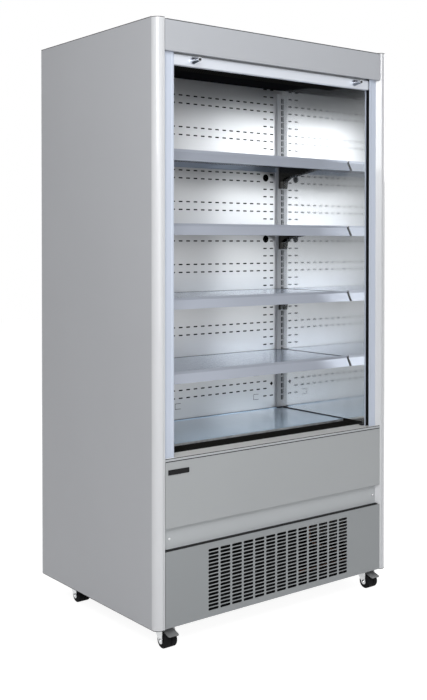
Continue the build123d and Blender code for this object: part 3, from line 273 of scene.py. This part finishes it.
# The deck's grey, tinted light blue as a painted reflection.
deck_paint_painted_reflection = surface("deck_paint_painted_reflection", "powder", (0.62, 0.80, 1.0), 0.15, 0.4)
sill_paint = surface("sill_paint", "powder", (0.68, 0.685, 0.68), 0.38)
galvanised = surface("galvanised", "galvanised", (0.52, 0.54, 0.56), 0.42, 0.9)
# Black paint for the compressor; also painted shade on the canopy ceiling, the base frame, the back wall's
# rear faces and slot edges, the liner and the uprights' slots.
black_paint_and_painted_shade = surface("black_paint_and_painted_shade", "powder", (0.010, 0.010, 0.011), 0.9, Specular_IOR_Level=0.0)
grille_black = surface("grille_black", "moulded", (0.014, 0.014, 0.013), 0.8, Specular_IOR_Level=0.05)
# Black plastic; also painted shade as the strips behind the uprights' slots and the pedals' side and lower
# faces.
black_plastic = surface("black_plastic", "moulded", (0.012, 0.012, 0.013), 0.5, Specular_IOR_Level=0.25)
badge_black = surface("badge_black", "moulded", (0.004, 0.004, 0.005), 0.3, Specular_IOR_Level=0.2)
# Dark lines along the panels' top edges; also painted shade as the strips in the gaps at the plinth, the
# sill's nosing and the trays' edges.
dark_edges_and_painted_shade = surface("dark_edges_and_painted_shade", "moulded", (0.010, 0.010, 0.011), 0.7, Specular_IOR_Level=0.2)
foam_core = surface("foam_core", "moulded", (0.72, 0.62, 0.36), 0.85)
fin_metal = surface("fin_metal", "brushed", (0.60, 0.61, 0.62), 0.38, 1.0)
# Painted shade: the condenser's fins are darkened so the louvre slots read black.
black_fins = surface("black_fins", "brushed", (0.015, 0.015, 0.016), 0.6, Specular_IOR_Level=0.1)
bar_metal = surface("bar_metal", "brushed", (0.64, 0.67, 0.73), 0.32, 0.35)
copper = surface("copper", "moulded", (0.72, 0.38, 0.24), 0.30, 1.0)
zinc = surface("zinc", "galvanised", (0.66, 0.67, 0.68), 0.26, 1.0)
wheel_rubber = surface("wheel_rubber", "moulded", (0.012, 0.012, 0.013), 0.7, Specular_IOR_Level=0.05)
pedal_tread = surface("pedal_tread", "moulded", (0.36, 0.365, 0.37), 0.4, 0.6)
knob_metal = surface("knob_metal", "brushed", (0.62, 0.64, 0.68), 0.2, 1.0)
blind_cloth = surface("blind_cloth", "woven", (0.70, 0.72, 0.75), 0.55)
lamp_glass = surface("lamp_glass", "moulded", (0.85, 0.87, 0.88), 0.35, Coat_Weight=0.3)

castors = [f"{end}_{side}" for end in castor_y for side in ("left", "right")]
shelves = [f"shelf_{number}" for number in range(1, 5)]
finishes = {
    body_paint: ["side_panel_left", "side_panel_right"],
    header_paint_painted_light: ["header_panel"],
    apron_paint_painted_shade: ["front_apron"],
    strip_paint_painted_light: ["service_strip"],
    profile_white: ["corner_profile_left", "corner_profile_right"],
    jamb_paint: ["jamb_left", "jamb_right"],
    plinth_paint_painted_shade: ["louvre_panel"],
    mirror_steel: ["inner_wall_left", "inner_wall_right"],
    brushed_steel: ["duct_panels"],
    tray_steel_painted_reflection: shelves,
    upright_steel: ["shelf_uprights"],
    bracket_painted_shade: ["shelf_brackets"],
    deck_paint_painted_reflection: ["deck_tray"],
    sill_paint: ["front_sill"],
    galvanised: ["roof_panel", "rear_panel", "rear_liner", "floor_liner", "drip_tray",
                 "condenser_shroud", "evaporator_fan_plate"],
    # The canopy ceiling and the base frame are black as painted shade; the compressor is black.
    black_paint_and_painted_shade: ["canopy_ceiling", "compressor", "base_frame"],
    grille_black: ["air_honeycomb", "return_air_grille"],
    black_plastic: ["profile_end_caps", "blind_guides", "condenser_fan", "evaporator_fan_left",
                    "evaporator_fan_right", "control_box", "brake_lever_left", "brake_lever_right"],
    badge_black: ["badge_plate"],
    foam_core: ["foam_core"],
    fin_metal: ["evaporator_coil"],
    black_fins: ["condenser_coil"],
    bar_metal: ["blind_bar", "blind_roller"],
    copper: ["refrigerant_pipes"],
    zinc: ["strip_screws"] + [f"castor_fork_{castor}" for castor in castors],
    wheel_rubber: [f"castor_wheel_{castor}" for castor in castors],
    knob_metal: ["blind_knobs"],
    blind_cloth: ["blind_curtain"],
    lamp_glass: ["light_tube"],
}
for material, names in finishes.items():
    for name in names:
        nodes[name].data.materials.clear()
        nodes[name].data.materials.append(material)


def second_finish(name, material, wanted):
    """Give the wanted faces of a solid a second material."""
    mesh = nodes[name].data
    mesh.materials.append(material)
    for face in mesh.polygons:
        if wanted(face.center, face.normal):
            face.material_index = len(mesh.materials) - 1


# Undersides of the trays darkened as painted shade, their rails and the rails' end caps.
for shelf in shelves:
    second_finish(shelf, tray_underside_painted_shade, lambda middle, normal: normal.z < -0.5)
    second_finish(shelf, rail_metal, lambda middle, normal: middle.y < rail_front_y)
    second_finish(shelf, black_plastic,
                  lambda middle, normal: middle.y < rail_front_y and abs(middle.x) > rail_cap_x)
# Painted shade: black on the back wall's rear faces and slot edges, on the liner's front behind it, and on
# the uprights' slot edges and back faces.
second_finish("duct_panels", black_paint_and_painted_shade, lambda middle, normal: normal.y > -0.7)
second_finish("rear_liner", black_paint_and_painted_shade, lambda middle, normal: normal.y < -0.5)
second_finish("shelf_uprights", black_paint_and_painted_shade,
              lambda middle, normal: abs(normal.z) > 0.5 or normal.y > 0.5)
# The sill's nosing front, darkened as painted shade, the knobs' plugs, the castors' plates and the pedals'
# treads.
second_finish("front_sill", strip_paint_painted_light, lambda middle, normal: normal.y < -0.5)
second_finish("blind_knobs", black_plastic, lambda middle, normal: middle.y < knob_plug_y)
second_finish("base_frame", zinc, lambda middle, normal: middle.z < castor_plate_top)
# The pedals' grey treads face up; their other faces keep the black, as painted shade.
for side in ("left", "right"):
    second_finish(f"brake_lever_{side}", pedal_tread, lambda middle, normal: normal.z > 0.6)


# --- Mesh helpers ----------------------------------------------------------------------------------
def mesh_piece(name, points, faces, material, smooth=False):
    """Object at the origin from points and faces."""
    mesh = bpy.data.meshes.new(name)
    mesh.from_pydata([tuple(point) for point in points], [], faces)
    mesh.validate()
    mesh.update()
    mesh.materials.append(material)
    mesh.polygons.foreach_set("use_smooth", [smooth] * len(mesh.polygons))
    made = bpy.data.objects.new(name, mesh)
    scene.collection.objects.link(made)
    return made


def grid_faces(rows, columns, close_rows=False, close_columns=False):
    """Quads of a grid of points, row by row."""
    faces = []
    for row in range(rows if close_rows else rows - 1):
        for column in range(columns if close_columns else columns - 1):
            next_row = (row + 1) % rows
            next_column = (column + 1) % columns
            faces.append((row * columns + column, row * columns + next_column,
                          next_row * columns + next_column, next_row * columns + column))
    return faces


def lathe(name, profile, centre, material, steps=32, flip=False):
    """Piece turned about x; profile is (distance along x, radius), with both ends at radius 0."""
    along = Vector((-1 if flip else 1, 0, 0))
    side = Vector((0, 1, 0))
    other = along.cross(side)
    points = []
    rings = profile[1:-1]
    for distance, radius in rings:
        for step in range(steps):
            turn = 2 * pi * step / steps
            points.append(Vector(centre) + along * distance + (side * cos(turn) + other * sin(turn)) * radius)
    faces = grid_faces(len(rings), steps, close_columns=True)
    points.append(Vector(centre) + along * profile[0][0])
    points.append(Vector(centre) + along * profile[-1][0])
    first, last = len(points) - 2, len(points) - 1
    base = (len(rings) - 1) * steps
    for step in range(steps):
        following = (step + 1) % steps
        faces.append((first, following, step))
        faces.append((last, base + step, base + following))
    return mesh_piece(name, points, faces, material, smooth=True)


def closed_block(name, low, high, material, edge):
    """Block with a small chamfer on its four edges along x."""
    (x0, y0, z0), (x1, y1, z1) = low, high
    ring = [(y0 + edge, z0), (y1 - edge, z0), (y1, z0 + edge), (y1, z1 - edge),
            (y1 - edge, z1), (y0 + edge, z1), (y0, z1 - edge), (y0, z0 + edge)]
    points = [(x, y, z) for x in (x0, x1) for y, z in ring]
    count = len(ring)
    faces = [tuple(reversed(range(count))), tuple(range(count, 2 * count)),
             *grid_faces(2, count, close_columns=True)]
    return mesh_piece(name, points, faces, material)


def border_frame(name, low, high, bar, material):
    """Rectangular frame of flat bars, lying in x and y."""
    outer = [(low[0], low[1]), (high[0], low[1]), (high[0], high[1]), (low[0], high[1])]
    inner = [(low[0] + bar, low[1] + bar), (high[0] - bar, low[1] + bar),
             (high[0] - bar, high[1] - bar), (low[0] + bar, high[1] - bar)]
    rings = [(outer, low[2]), (outer, high[2]), (inner, high[2]), (inner, low[2])]
    points = [(x, y, z) for ring, z in rings for x, y in ring]
    return mesh_piece(name, points, grid_faces(4, 4, close_rows=True, close_columns=True), material)


# --- Geometry node groups --------------------------------------------------------------------------
def growing_group(name, inputs):
    """Start a geometry group whose input and output geometry share one name."""
    tree = bpy.data.node_groups.new(name, "GeometryNodeTree")
    kinds = {"value": "NodeSocketFloat", "vector": "NodeSocketVector", "whole": "NodeSocketInt",
             "material": "NodeSocketMaterial"}
    tree.interface.new_socket("Geometry", in_out="INPUT", socket_type="NodeSocketGeometry")
    for label, kind in inputs:
        tree.interface.new_socket(label, in_out="INPUT", socket_type=kinds[kind])
    tree.interface.new_socket("Geometry", in_out="OUTPUT", socket_type="NodeSocketGeometry")
    return tree, tree.nodes.new("NodeGroupInput").outputs, tree.nodes.new("NodeGroupOutput").inputs


def finish_growth(tree, parts, material, target):
    """Join the parts, make them real and give them their material."""
    joined = tree.nodes.new("GeometryNodeJoinGeometry")
    for part in parts:
        tree.links.new(part, joined.inputs["Geometry"])
    real = node(tree, "GeometryNodeRealizeInstances", {"Geometry": joined.outputs[0]})
    made = node(tree, "GeometryNodeSetMaterial", {"Geometry": real.outputs[0], "Material": material})
    tree.links.new(made.outputs["Geometry"], target["Geometry"])


hex_corner = 0.5774           # from a cell's middle to its corner, for a pitch of 1
hex_row = 1.73205             # from row to row in one of the two grids, for a pitch of 1


def hex_cells_group():
    """Fill a frame with hexagonal cells in two staggered grids."""
    tree, given, target = growing_group("hex_cells", [
        ("Middle", "vector"), ("Pitch", "value"), ("Web", "value"), ("Height", "value"),
        ("Columns", "whole"), ("Rows", "whole"), ("Material", "material")])
    ring = node(tree, "GeometryNodeCurvePrimitiveCircle", {
        "Resolution": 6, "Radius": math_value(tree, "MULTIPLY", given["Pitch"], hex_corner)})
    turned = node(tree, "GeometryNodeTransform", {"Geometry": ring.outputs["Curve"],
                                                  "Rotation": (0, 0, radians(30))})
    wall = node(tree, "GeometryNodeCurvePrimitiveQuadrilateral", {"Width": given["Web"],
                                                                  "Height": given["Height"]})
    cell = node(tree, "GeometryNodeCurveToMesh", {"Curve": turned.outputs["Geometry"],
                                                  "Profile Curve": wall.outputs["Curve"]})
    row_step = math_value(tree, "MULTIPLY", given["Pitch"], hex_row)
    parts = [given["Geometry"]]
    for stagger in (0, 1):
        columns = math_value(tree, "SUBTRACT", given["Columns"], stagger)
        rows = math_value(tree, "SUBTRACT", given["Rows"], stagger)
        wide = math_value(tree, "MULTIPLY", math_value(tree, "SUBTRACT", columns, 1), given["Pitch"])
        deep = math_value(tree, "MULTIPLY", math_value(tree, "SUBTRACT", rows, 1), row_step)
        grid = node(tree, "GeometryNodeMeshGrid", {"Size X": wide, "Size Y": deep,
                                                   "Vertices X": columns, "Vertices Y": rows})
        placed = node(tree, "GeometryNodeTransform", {"Geometry": grid.outputs["Mesh"],
                                                      "Translation": given["Middle"]})
        cells = node(tree, "GeometryNodeInstanceOnPoints", {"Points": placed.outputs["Geometry"],
                                                            "Instance": cell.outputs["Mesh"]})
        parts.append(cells.outputs["Instances"])
    finish_growth(tree, parts, given["Material"], target)
    return tree


def screw_heads_group():
    """A tapered pan head on every point of the mesh."""
    taper = 0.62
    tree, given, target = growing_group("screw_heads", [
        ("Turn", "vector"), ("Radius", "value"), ("Height", "value"), ("Material", "material")])
    head = node(tree, "GeometryNodeMeshCone", {
        "Vertices": 14, "Depth": given["Height"], "Radius Bottom": given["Radius"],
        "Radius Top": math_value(tree, "MULTIPLY", given["Radius"], taper)})
    heads = node(tree, "GeometryNodeInstanceOnPoints", {
        "Points": given["Geometry"], "Instance": head.outputs["Mesh"], "Rotation": given["Turn"]})
    finish_growth(tree, [heads.outputs["Instances"]], given["Material"], target)
    return tree


def fin_row_group():
    """A row of thin fins along x, added to the given tubes."""
    tree, given, target = growing_group("fin_row", [
        ("First", "vector"), ("Step", "vector"), ("Count", "whole"), ("Size", "vector"),
        ("Material", "material")])
    places = node(tree, "GeometryNodeMeshLine", {"Count": given["Count"], "Start Location": given["First"],
                                                 "Offset": given["Step"]})
    fin = node(tree, "GeometryNodeMeshCube", {"Size": given["Size"]})
    fins = node(tree, "GeometryNodeInstanceOnPoints", {"Points": places.outputs["Mesh"],
                                                       "Instance": fin.outputs["Mesh"]})
    finish_growth(tree, [given["Geometry"], fins.outputs["Instances"]], given["Material"], target)
    return tree


hex_cells = hex_cells_group()
screw_heads = screw_heads_group()
fin_row = fin_row_group()


def grow(piece, tree, **values):
    """Run a geometry group on a piece, which keeps the result as its mesh."""
    modifier = piece.modifiers.new("grown", "NODES")
    modifier.node_group = tree
    for item in tree.interface.items_tree:
        if item.in_out == "INPUT" and item.name in values:
            modifier[item.identifier] = values[item.name]
    graph = bpy.context.evaluated_depsgraph_get()
    mesh = bpy.data.meshes.new_from_object(piece.evaluated_get(graph))
    piece.modifiers.clear()
    piece.data = mesh


def honeycomb(name, replaced, pitch, web):
    """Framed honeycomb in the box of the plain node it replaces."""
    bar, recess = 0.006, 0.001
    low, high = (Vector(corner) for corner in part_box(replaced))
    columns = int((high.x - low.x - bar) // pitch)
    rows = int(((high.y - low.y - bar) / (pitch * hex_row / 2) + 1) // 2)
    piece = border_frame(name, low, high, bar, grille_black)
    grow(piece, hex_cells, Middle=(low + high) / 2, Pitch=pitch, Web=web,
         Height=high.z - low.z - recess, Columns=columns, Rows=rows, Material=grille_black)
    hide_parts(replaced)
    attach(piece, "cabinet")


def screws(name, points, turn):
    """Pan heads at the given points; turn lays their axis along the sheet's outward side."""
    piece = mesh_piece(name, points, [], zinc)
    grow(piece, screw_heads, Turn=turn, Radius=screw_radius, Height=screw_height, Material=zinc)
    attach(piece, "cabinet")


def evaporator_fins():
    """The cooling coil's own tubes, with plain fins where the solid has pierced ones."""
    outermost_fin = 0.352
    fin_pitch, fin_thickness = 0.016, 0.0004
    fin_size = (fin_thickness, 0.160, 0.100)
    tubes = bmesh.new()
    tubes.from_mesh(nodes["evaporator_coil"].data)
    pierced = [face for face in tubes.faces
               if max(abs(vertex.co.x) for vertex in face.verts) < outermost_fin + fin_pitch / 2]
    bmesh.ops.delete(tubes, geom=pierced, context="FACES")
    mesh = bpy.data.meshes.new("evaporator_fin_pack")
    tubes.to_mesh(mesh)
    tubes.free()
    piece = bpy.data.objects.new("evaporator_fin_pack", mesh)
    scene.collection.objects.link(piece)
    grow(piece, fin_row, First=(fin_thickness / 2 - outermost_fin, coil_middle_y, coil_middle_z),
         Step=(fin_pitch, 0, 0), Count=round(2 * outermost_fin / fin_pitch) + 1, Size=fin_size,
         Material=fin_metal)
    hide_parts("evaporator_coil")
    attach(piece, "cabinet")


honeycomb("return_grille_cells", "return_air_grille", 0.0085, 0.0016)
honeycomb("air_curtain_cells", "air_honeycomb", 0.0100, 0.0010)
evaporator_fins()


# --- Small pieces ----------------------------------------------------------------------------------
def upright_slot_shades():
    """Black strips behind the slots of the shelf uprights, as painted shade in the slots."""
    low, high = (Vector(corner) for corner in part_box("shelf_uprights"))
    inner, outer = opening_half - 0.0125, opening_half - 0.0005
    front, back = back_wall_y - 0.0014, back_wall_y - 0.0004
    bottom, top = low.z + 0.001, high.z - 0.001
    for side, label in ((-1, "left"), (1, "right")):
        left, right = sorted((side * inner, side * outer))
        strip = closed_block(f"upright_lining_{label}", (left, front, bottom), (right, back, top),
                             black_plastic, 0.0002)
        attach(strip, "cabinet")


def plinth_gap_shade():
    """Dark strip in the gap between the louvred panel and the service strip, as painted shade."""
    gap_strip = closed_block("plinth_gap_shade", (-gap_shade_half, gap_shade_y[0], gap_shade_z[0]),
                          (gap_shade_half, gap_shade_y[1], gap_shade_z[1]), dark_edges_and_painted_shade, 0.0009)
    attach(gap_strip, "cabinet")


def edge_lines():
    """Dark strips: painted shade in the joints under and over the sill's nosing, and dark lines along the top
    edges of the panels.
    """
    proud, lap = 0.0004, 0.0008  # how far the panels' dark lines stand out, and how far they reach inwards
    sill_low, sill_high = (Vector(corner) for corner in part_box("front_sill"))
    half = sill_high.x - 0.001
    front = sill_low.y
    header_low, header_high = (Vector(corner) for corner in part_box("header_panel"))
    side_low, side_high = (Vector(corner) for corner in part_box("side_panel_right"))
    blocks = {
        "sill_shade_line_low": ((-half, front - 0.0005, sill_shade_line_z[0]),
                          (half, front + 0.0006, sill_shade_line_z[1])),
        "sill_shade_line_high": ((-half, front - 0.0006, sill_high.z - 0.0010),
                           (half, front + 0.0018, sill_high.z + 0.0005)),
        "header_top_dark_line": ((-header_high.x, header_low.y - proud, header_high.z - 0.0014),
                            (header_high.x, header_low.y + lap, header_high.z + proud))}
    for side, label in ((-1, "left"), (1, "right")):
        left, right = sorted((side * (side_high.x + proud), side * (side_high.x - lap)))
        blocks[f"side_top_seal_{label}"] = ((left, side_low.y, side_high.z - 0.0016),
                                            (right, side_high.y, side_high.z + proud))
    for name, (low, high) in blocks.items():
        seal = closed_block(name, low, high, dark_edges_and_painted_shade, 0.0002)
        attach(seal, "cabinet")


def tray_edge_shade():
    """Thin dark strip along the back and side edges of each tray and of the deck, as painted shade."""
    shade_line_width, shade_line_rise = 0.0014, 0.0007
    # For each strip: the node and its body, how far the node's top is above its tray, how far back
    # the strip starts, and how far it reaches down over the edge.
    trays = {"deck_edge_shade": ("deck_tray", "cabinet", 0.0, 0.001, 0.0020)}
    for number, shelf in enumerate(shelves, 1):
        trays[f"shelf_seal_{number}"] = (shelf, f"shelf_body_{number}", rail_above_tray, 0.022, 0.0)
    for name, (tray, body, drop, start, hem) in trays.items():
        low, high = (Vector(corner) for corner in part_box(tray))
        rings = []
        for inset in (0, shade_line_width):
            half, notch = high.x - inset, tray_notch - inset
            corner, back = high.y - upright_depth - inset, high.y - inset
            right = [(half, low.y + start), (half, corner), (notch, corner), (notch, back)]
            rings.append(right + [(-x, y) for x, y in reversed(right)])
        outer, inner = rings
        base = high.z - drop - hem
        top = base + hem + shade_line_rise
        levels = [(outer, base), (outer, top), (inner, top), (inner, base)]
        points = [(x, y, z) for ring, z in levels for x, y in ring]
        count = len(outer)
        faces = grid_faces(4, count, close_rows=True)
        faces += [(0, count, 2 * count, 3 * count),
                  (4 * count - 1, 3 * count - 1, 2 * count - 1, count - 1)]
        seal = mesh_piece(name, points, faces, dark_edges_and_painted_shade)
        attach(seal, body)


def wall_feet():
    """Black trims where the inner walls meet the air inlet grille."""
    low, high = (Vector(corner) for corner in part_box("return_air_grille"))
    inner, outer = opening_half - 0.0017, opening_half - 0.0002
    front, back = low.y - 0.014, high.y - 0.001
    bottom, top = high.z + 0.0003, high.z + 0.0115
    for side, label in ((-1, "left"), (1, "right")):
        left, right = sorted((side * inner, side * outer))
        trim = closed_block(f"wall_foot_{label}", (left, front, bottom), (right, back, top),
                            grille_black, 0.0003)
        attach(trim, "cabinet")


def lamp_ends():
    """Stepped caps that hold the lamp at both ends."""
    profile = [(0, 0), (0, 0.0084), (0.011, 0.0084), (0.012, 0.0076), (0.012, 0.0036), (0.020, 0.0036),
               (0.020, 0)]
    lap, shift = 0.006, 0.0006  # over the lamp's end, and forward to stay clear of the duct's wall
    low, high = (Vector(corner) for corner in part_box("light_tube"))
    middle = (low + high) / 2
    for side, label in ((-1, "left"), (1, "right")):
        cap = lathe(f"lamp_end_{label}", profile,
                    (side * (high.x - lap), middle.y - shift, middle.z), black_plastic, flip=side < 0)
        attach(cap, "cabinet")


def axle_nuts():
    """Rounded cap nuts at both ends of every castor's axle."""
    profile = [(0, 0), (0, 0.0068), (0.0012, 0.0068), (0.0012, 0.0056), (0.0034, 0.0052), (0.0050, 0.0030),
               (0.0054, 0)]
    for castor in castors:
        end, side = castor.split("_")
        x = castor_x if side == "right" else -castor_x
        y = castor_y[end] - axle_trail
        for face, label in ((-1, "inner"), (1, "outer")):
            nut = lathe(f"axle_nut_{castor}_{label}", profile, (x + face * fork_half, y, axle_z),
                        zinc, 18, flip=face < 0)
            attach(nut, f"castor_{castor}")


def panel_screws():
    """Screw heads along the edges of the rear panel and the roof."""
    rear = Vector(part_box("rear_panel")[1])
    seat, top_row = rear.y + screw_height / 2, rear.z - 0.012
    heights = [min(0.12 + 0.26 * step, rear.z - 0.02) for step in range(8)]
    points = [(x, seat, z) for x in (-0.508, 0.508) for z in heights]
    points += [(x, seat, top_row) for x in (-0.3, -0.1, 0.1, 0.3)]
    screws("rear_panel_screws", points, (radians(-90), 0, 0))
    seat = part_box("roof_panel")[1][2] + screw_height / 2 - 0.0001
    points = [(x, y, seat) for x in (-0.49, 0.49) for y in (-0.28, -0.05, 0.18, 0.33)]
    screws("roof_panel_screws", points, (0, 0, 0))


upright_slot_shades()
plinth_gap_shade()
edge_lines()
tray_edge_shade()
wall_feet()
lamp_ends()
axle_nuts()
panel_screws()


# --- Night blind: cloth on its roller --------------------------------------------------------------
def cloth_path():
    """Centre line of the cloth in y and z: round the roller from the inside out, then down."""
    steps_a_turn = 24
    rows = 18
    turns = (roll_radius - core_radius) / cloth_pitch
    steps = ceil(turns * steps_a_turn)
    path = []
    for step in range(steps + 1):
        wound = turns * (1 - step / steps)
        radius = roll_radius - cloth_pitch * wound
        turn = pi - 2 * pi * wound
        path.append((roller_y + radius * cos(turn), roller_z + radius * sin(turn)))
    drop = roller_z - bar_top
    path += [(roller_y - roll_radius, roller_z - drop * row / rows) for row in range(1, rows + 1)]
    return path


def sheet_mesh(name, path, half, thickness, material):
    """Closed thin sheet that follows a path in y and z."""
    sides = {-1: [], 1: []}
    for index, (y, z) in enumerate(path):
        before = path[max(index - 1, 0)]
        after = path[min(index + 1, len(path) - 1)]
        run = Vector((after[0] - before[0], after[1] - before[1])).normalized()
        for side, line in sides.items():
            line.append((y - run.y * side * thickness / 2, z + run.x * side * thickness / 2))
    loop = sides[1] + list(reversed(sides[-1]))
    points = [(x, y, z) for x in (half, -half) for y, z in loop]
    count = len(loop)
    faces = grid_faces(2, count, close_columns=True)
    for row in range(len(path) - 1):
        first, second = row, row + 1
        back, back_next = count - 1 - row, count - 2 - row
        faces.append((first, back, back_next, second))
        faces.append((count + first, count + second, count + back_next, count + back))
    return mesh_piece(name, points, faces, material)


def night_blind():
    """The cloth, wound and hanging, and the tube that it is wound on."""
    path = cloth_path()
    cloth = sheet_mesh("night_blind_cloth", path, cloth_half, cloth_thickness, blind_cloth)
    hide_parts("blind_curtain")
    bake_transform(cloth)
    barrel_radius, pin_radius = 0.0139, 0.004
    half, shoulder, pin_end = 0.439, 0.4405, 0.4495
    right_end = [(half, barrel_radius), (half, 0.0128), (shoulder, 0.0120), (shoulder, pin_radius),
                 (pin_end - 0.0005, pin_radius), (pin_end, 0.0036), (pin_end, 0)]
    left_end = [(-distance, radius) for distance, radius in reversed(right_end)]
    tube = lathe("blind_roller_tube", left_end + right_end, (0, roller_y, roller_z), bar_metal)
    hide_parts("blind_roller")
    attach(tube, "blind_tube")


night_blind()


# --- Stage -----------------------------------------------------------------------------------------
def camera():
    """Camera at the photograph's place and angle."""
    tilt_down, turn_right = 0.8055, 37.969  # degrees
    data = bpy.data.cameras.new("camera")
    data.sensor_width = 36
    data.lens = 52.425
    data.shift_y = -0.132
    made = bpy.data.objects.new("camera", data)
    made.location = (-2.3071, -2.9367, 1.2717)
    made.rotation_euler = (radians(90 - tilt_down), 0, radians(-turn_right))
    scene.collection.objects.link(made)
    scene.camera = made


def area_light(name, place, target, size, power):
    """Soft rectangular light, turned towards its target."""
    data = bpy.data.lights.new(name, "AREA")
    data.shape = "RECTANGLE"
    data.size, data.size_y = size
    data.energy = power
    made = bpy.data.objects.new(name, data)
    made.location = place
    made.rotation_euler = (Vector(target) - Vector(place)).to_track_quat("-Z", "Y").to_euler()
    scene.collection.objects.link(made)


def seen_rays(tree):
    """1 for camera, glossy and transmission rays."""
    path = tree.nodes.new("ShaderNodeLightPath").outputs
    seen = math_value(tree, "MAXIMUM", path["Is Camera Ray"], path["Is Glossy Ray"])
    return math_value(tree, "MAXIMUM", seen, path["Is Transmission Ray"])


def white_world():
    """Even light all round, white where it is seen."""
    world = bpy.data.worlds.new("studio")
    world.use_nodes = True
    tree = world.node_tree
    shade = node(tree, "ShaderNodeMapRange", {"Value": seen_rays(tree), "To Min": 0.24, "To Max": 1.0})
    background = tree.nodes["Background"]
    background.inputs["Color"].default_value = (1, 1, 1, 1)
    tree.links.new(shade.outputs["Result"], background.inputs["Strength"])
    scene.world = world


def pale_floor():
    """Plain floor that keeps the shadow and is white where it is seen."""
    made = bpy.data.materials.new("floor")
    made.use_nodes = True
    tree = made.node_tree
    tree.nodes.clear()
    place = tree.nodes.new("ShaderNodeTexCoord").outputs["Object"]
    tone = spread(tree, noise(tree, place, 0.8), 0.78, 0.82)
    matt = node(tree, "ShaderNodeBsdfDiffuse", {"Color": tone})
    faint = node(tree, "ShaderNodeBsdfDiffuse", {"Color": (0.3, 0.3, 0.3, 1)})
    glow = node(tree, "ShaderNodeEmission", {"Color": (1, 1, 1, 1), "Strength": 0.93})
    seen = node(tree, "ShaderNodeAddShader", {0: faint.outputs[0], 1: glow.outputs[0]})
    mixed = node(tree, "ShaderNodeMixShader",
                 {"Fac": seen_rays(tree), 1: matt.outputs[0], 2: seen.outputs[0]})
    tree.links.new(mixed.outputs[0], tree.nodes.new("ShaderNodeOutputMaterial").inputs["Surface"])
    reach = 12
    corners = [(-reach, -reach, 0), (reach, -reach, 0), (reach, reach, 0), (-reach, reach, 0)]
    mesh_piece("floor", corners, [(0, 1, 2, 3)], made)


camera()
area_light("key", (-2.25, -2.25, 2.7), (-0.3, -0.2, 1.25), (1.1, 2.0), 67)
area_light("front", (-1.2, -3.4, 1.5), (0.1, 0, 1.2), (1.8, 1.6), 22)
area_light("fill", (1.3, -2.9, 3.5), (0, -0.3, 1.4), (2.2, 1.2), 20)
area_light("right", (3.4, -0.2, 2.6), (0.5, 0, 1.1), (1.8, 2.0), 42)
area_light("rear", (0.6, 3.4, 2.8), (0, 0.3, 1.0), (2.2, 1.8), 45)
white_world()
pale_floor()
scene.view_settings.view_transform = "Standard"
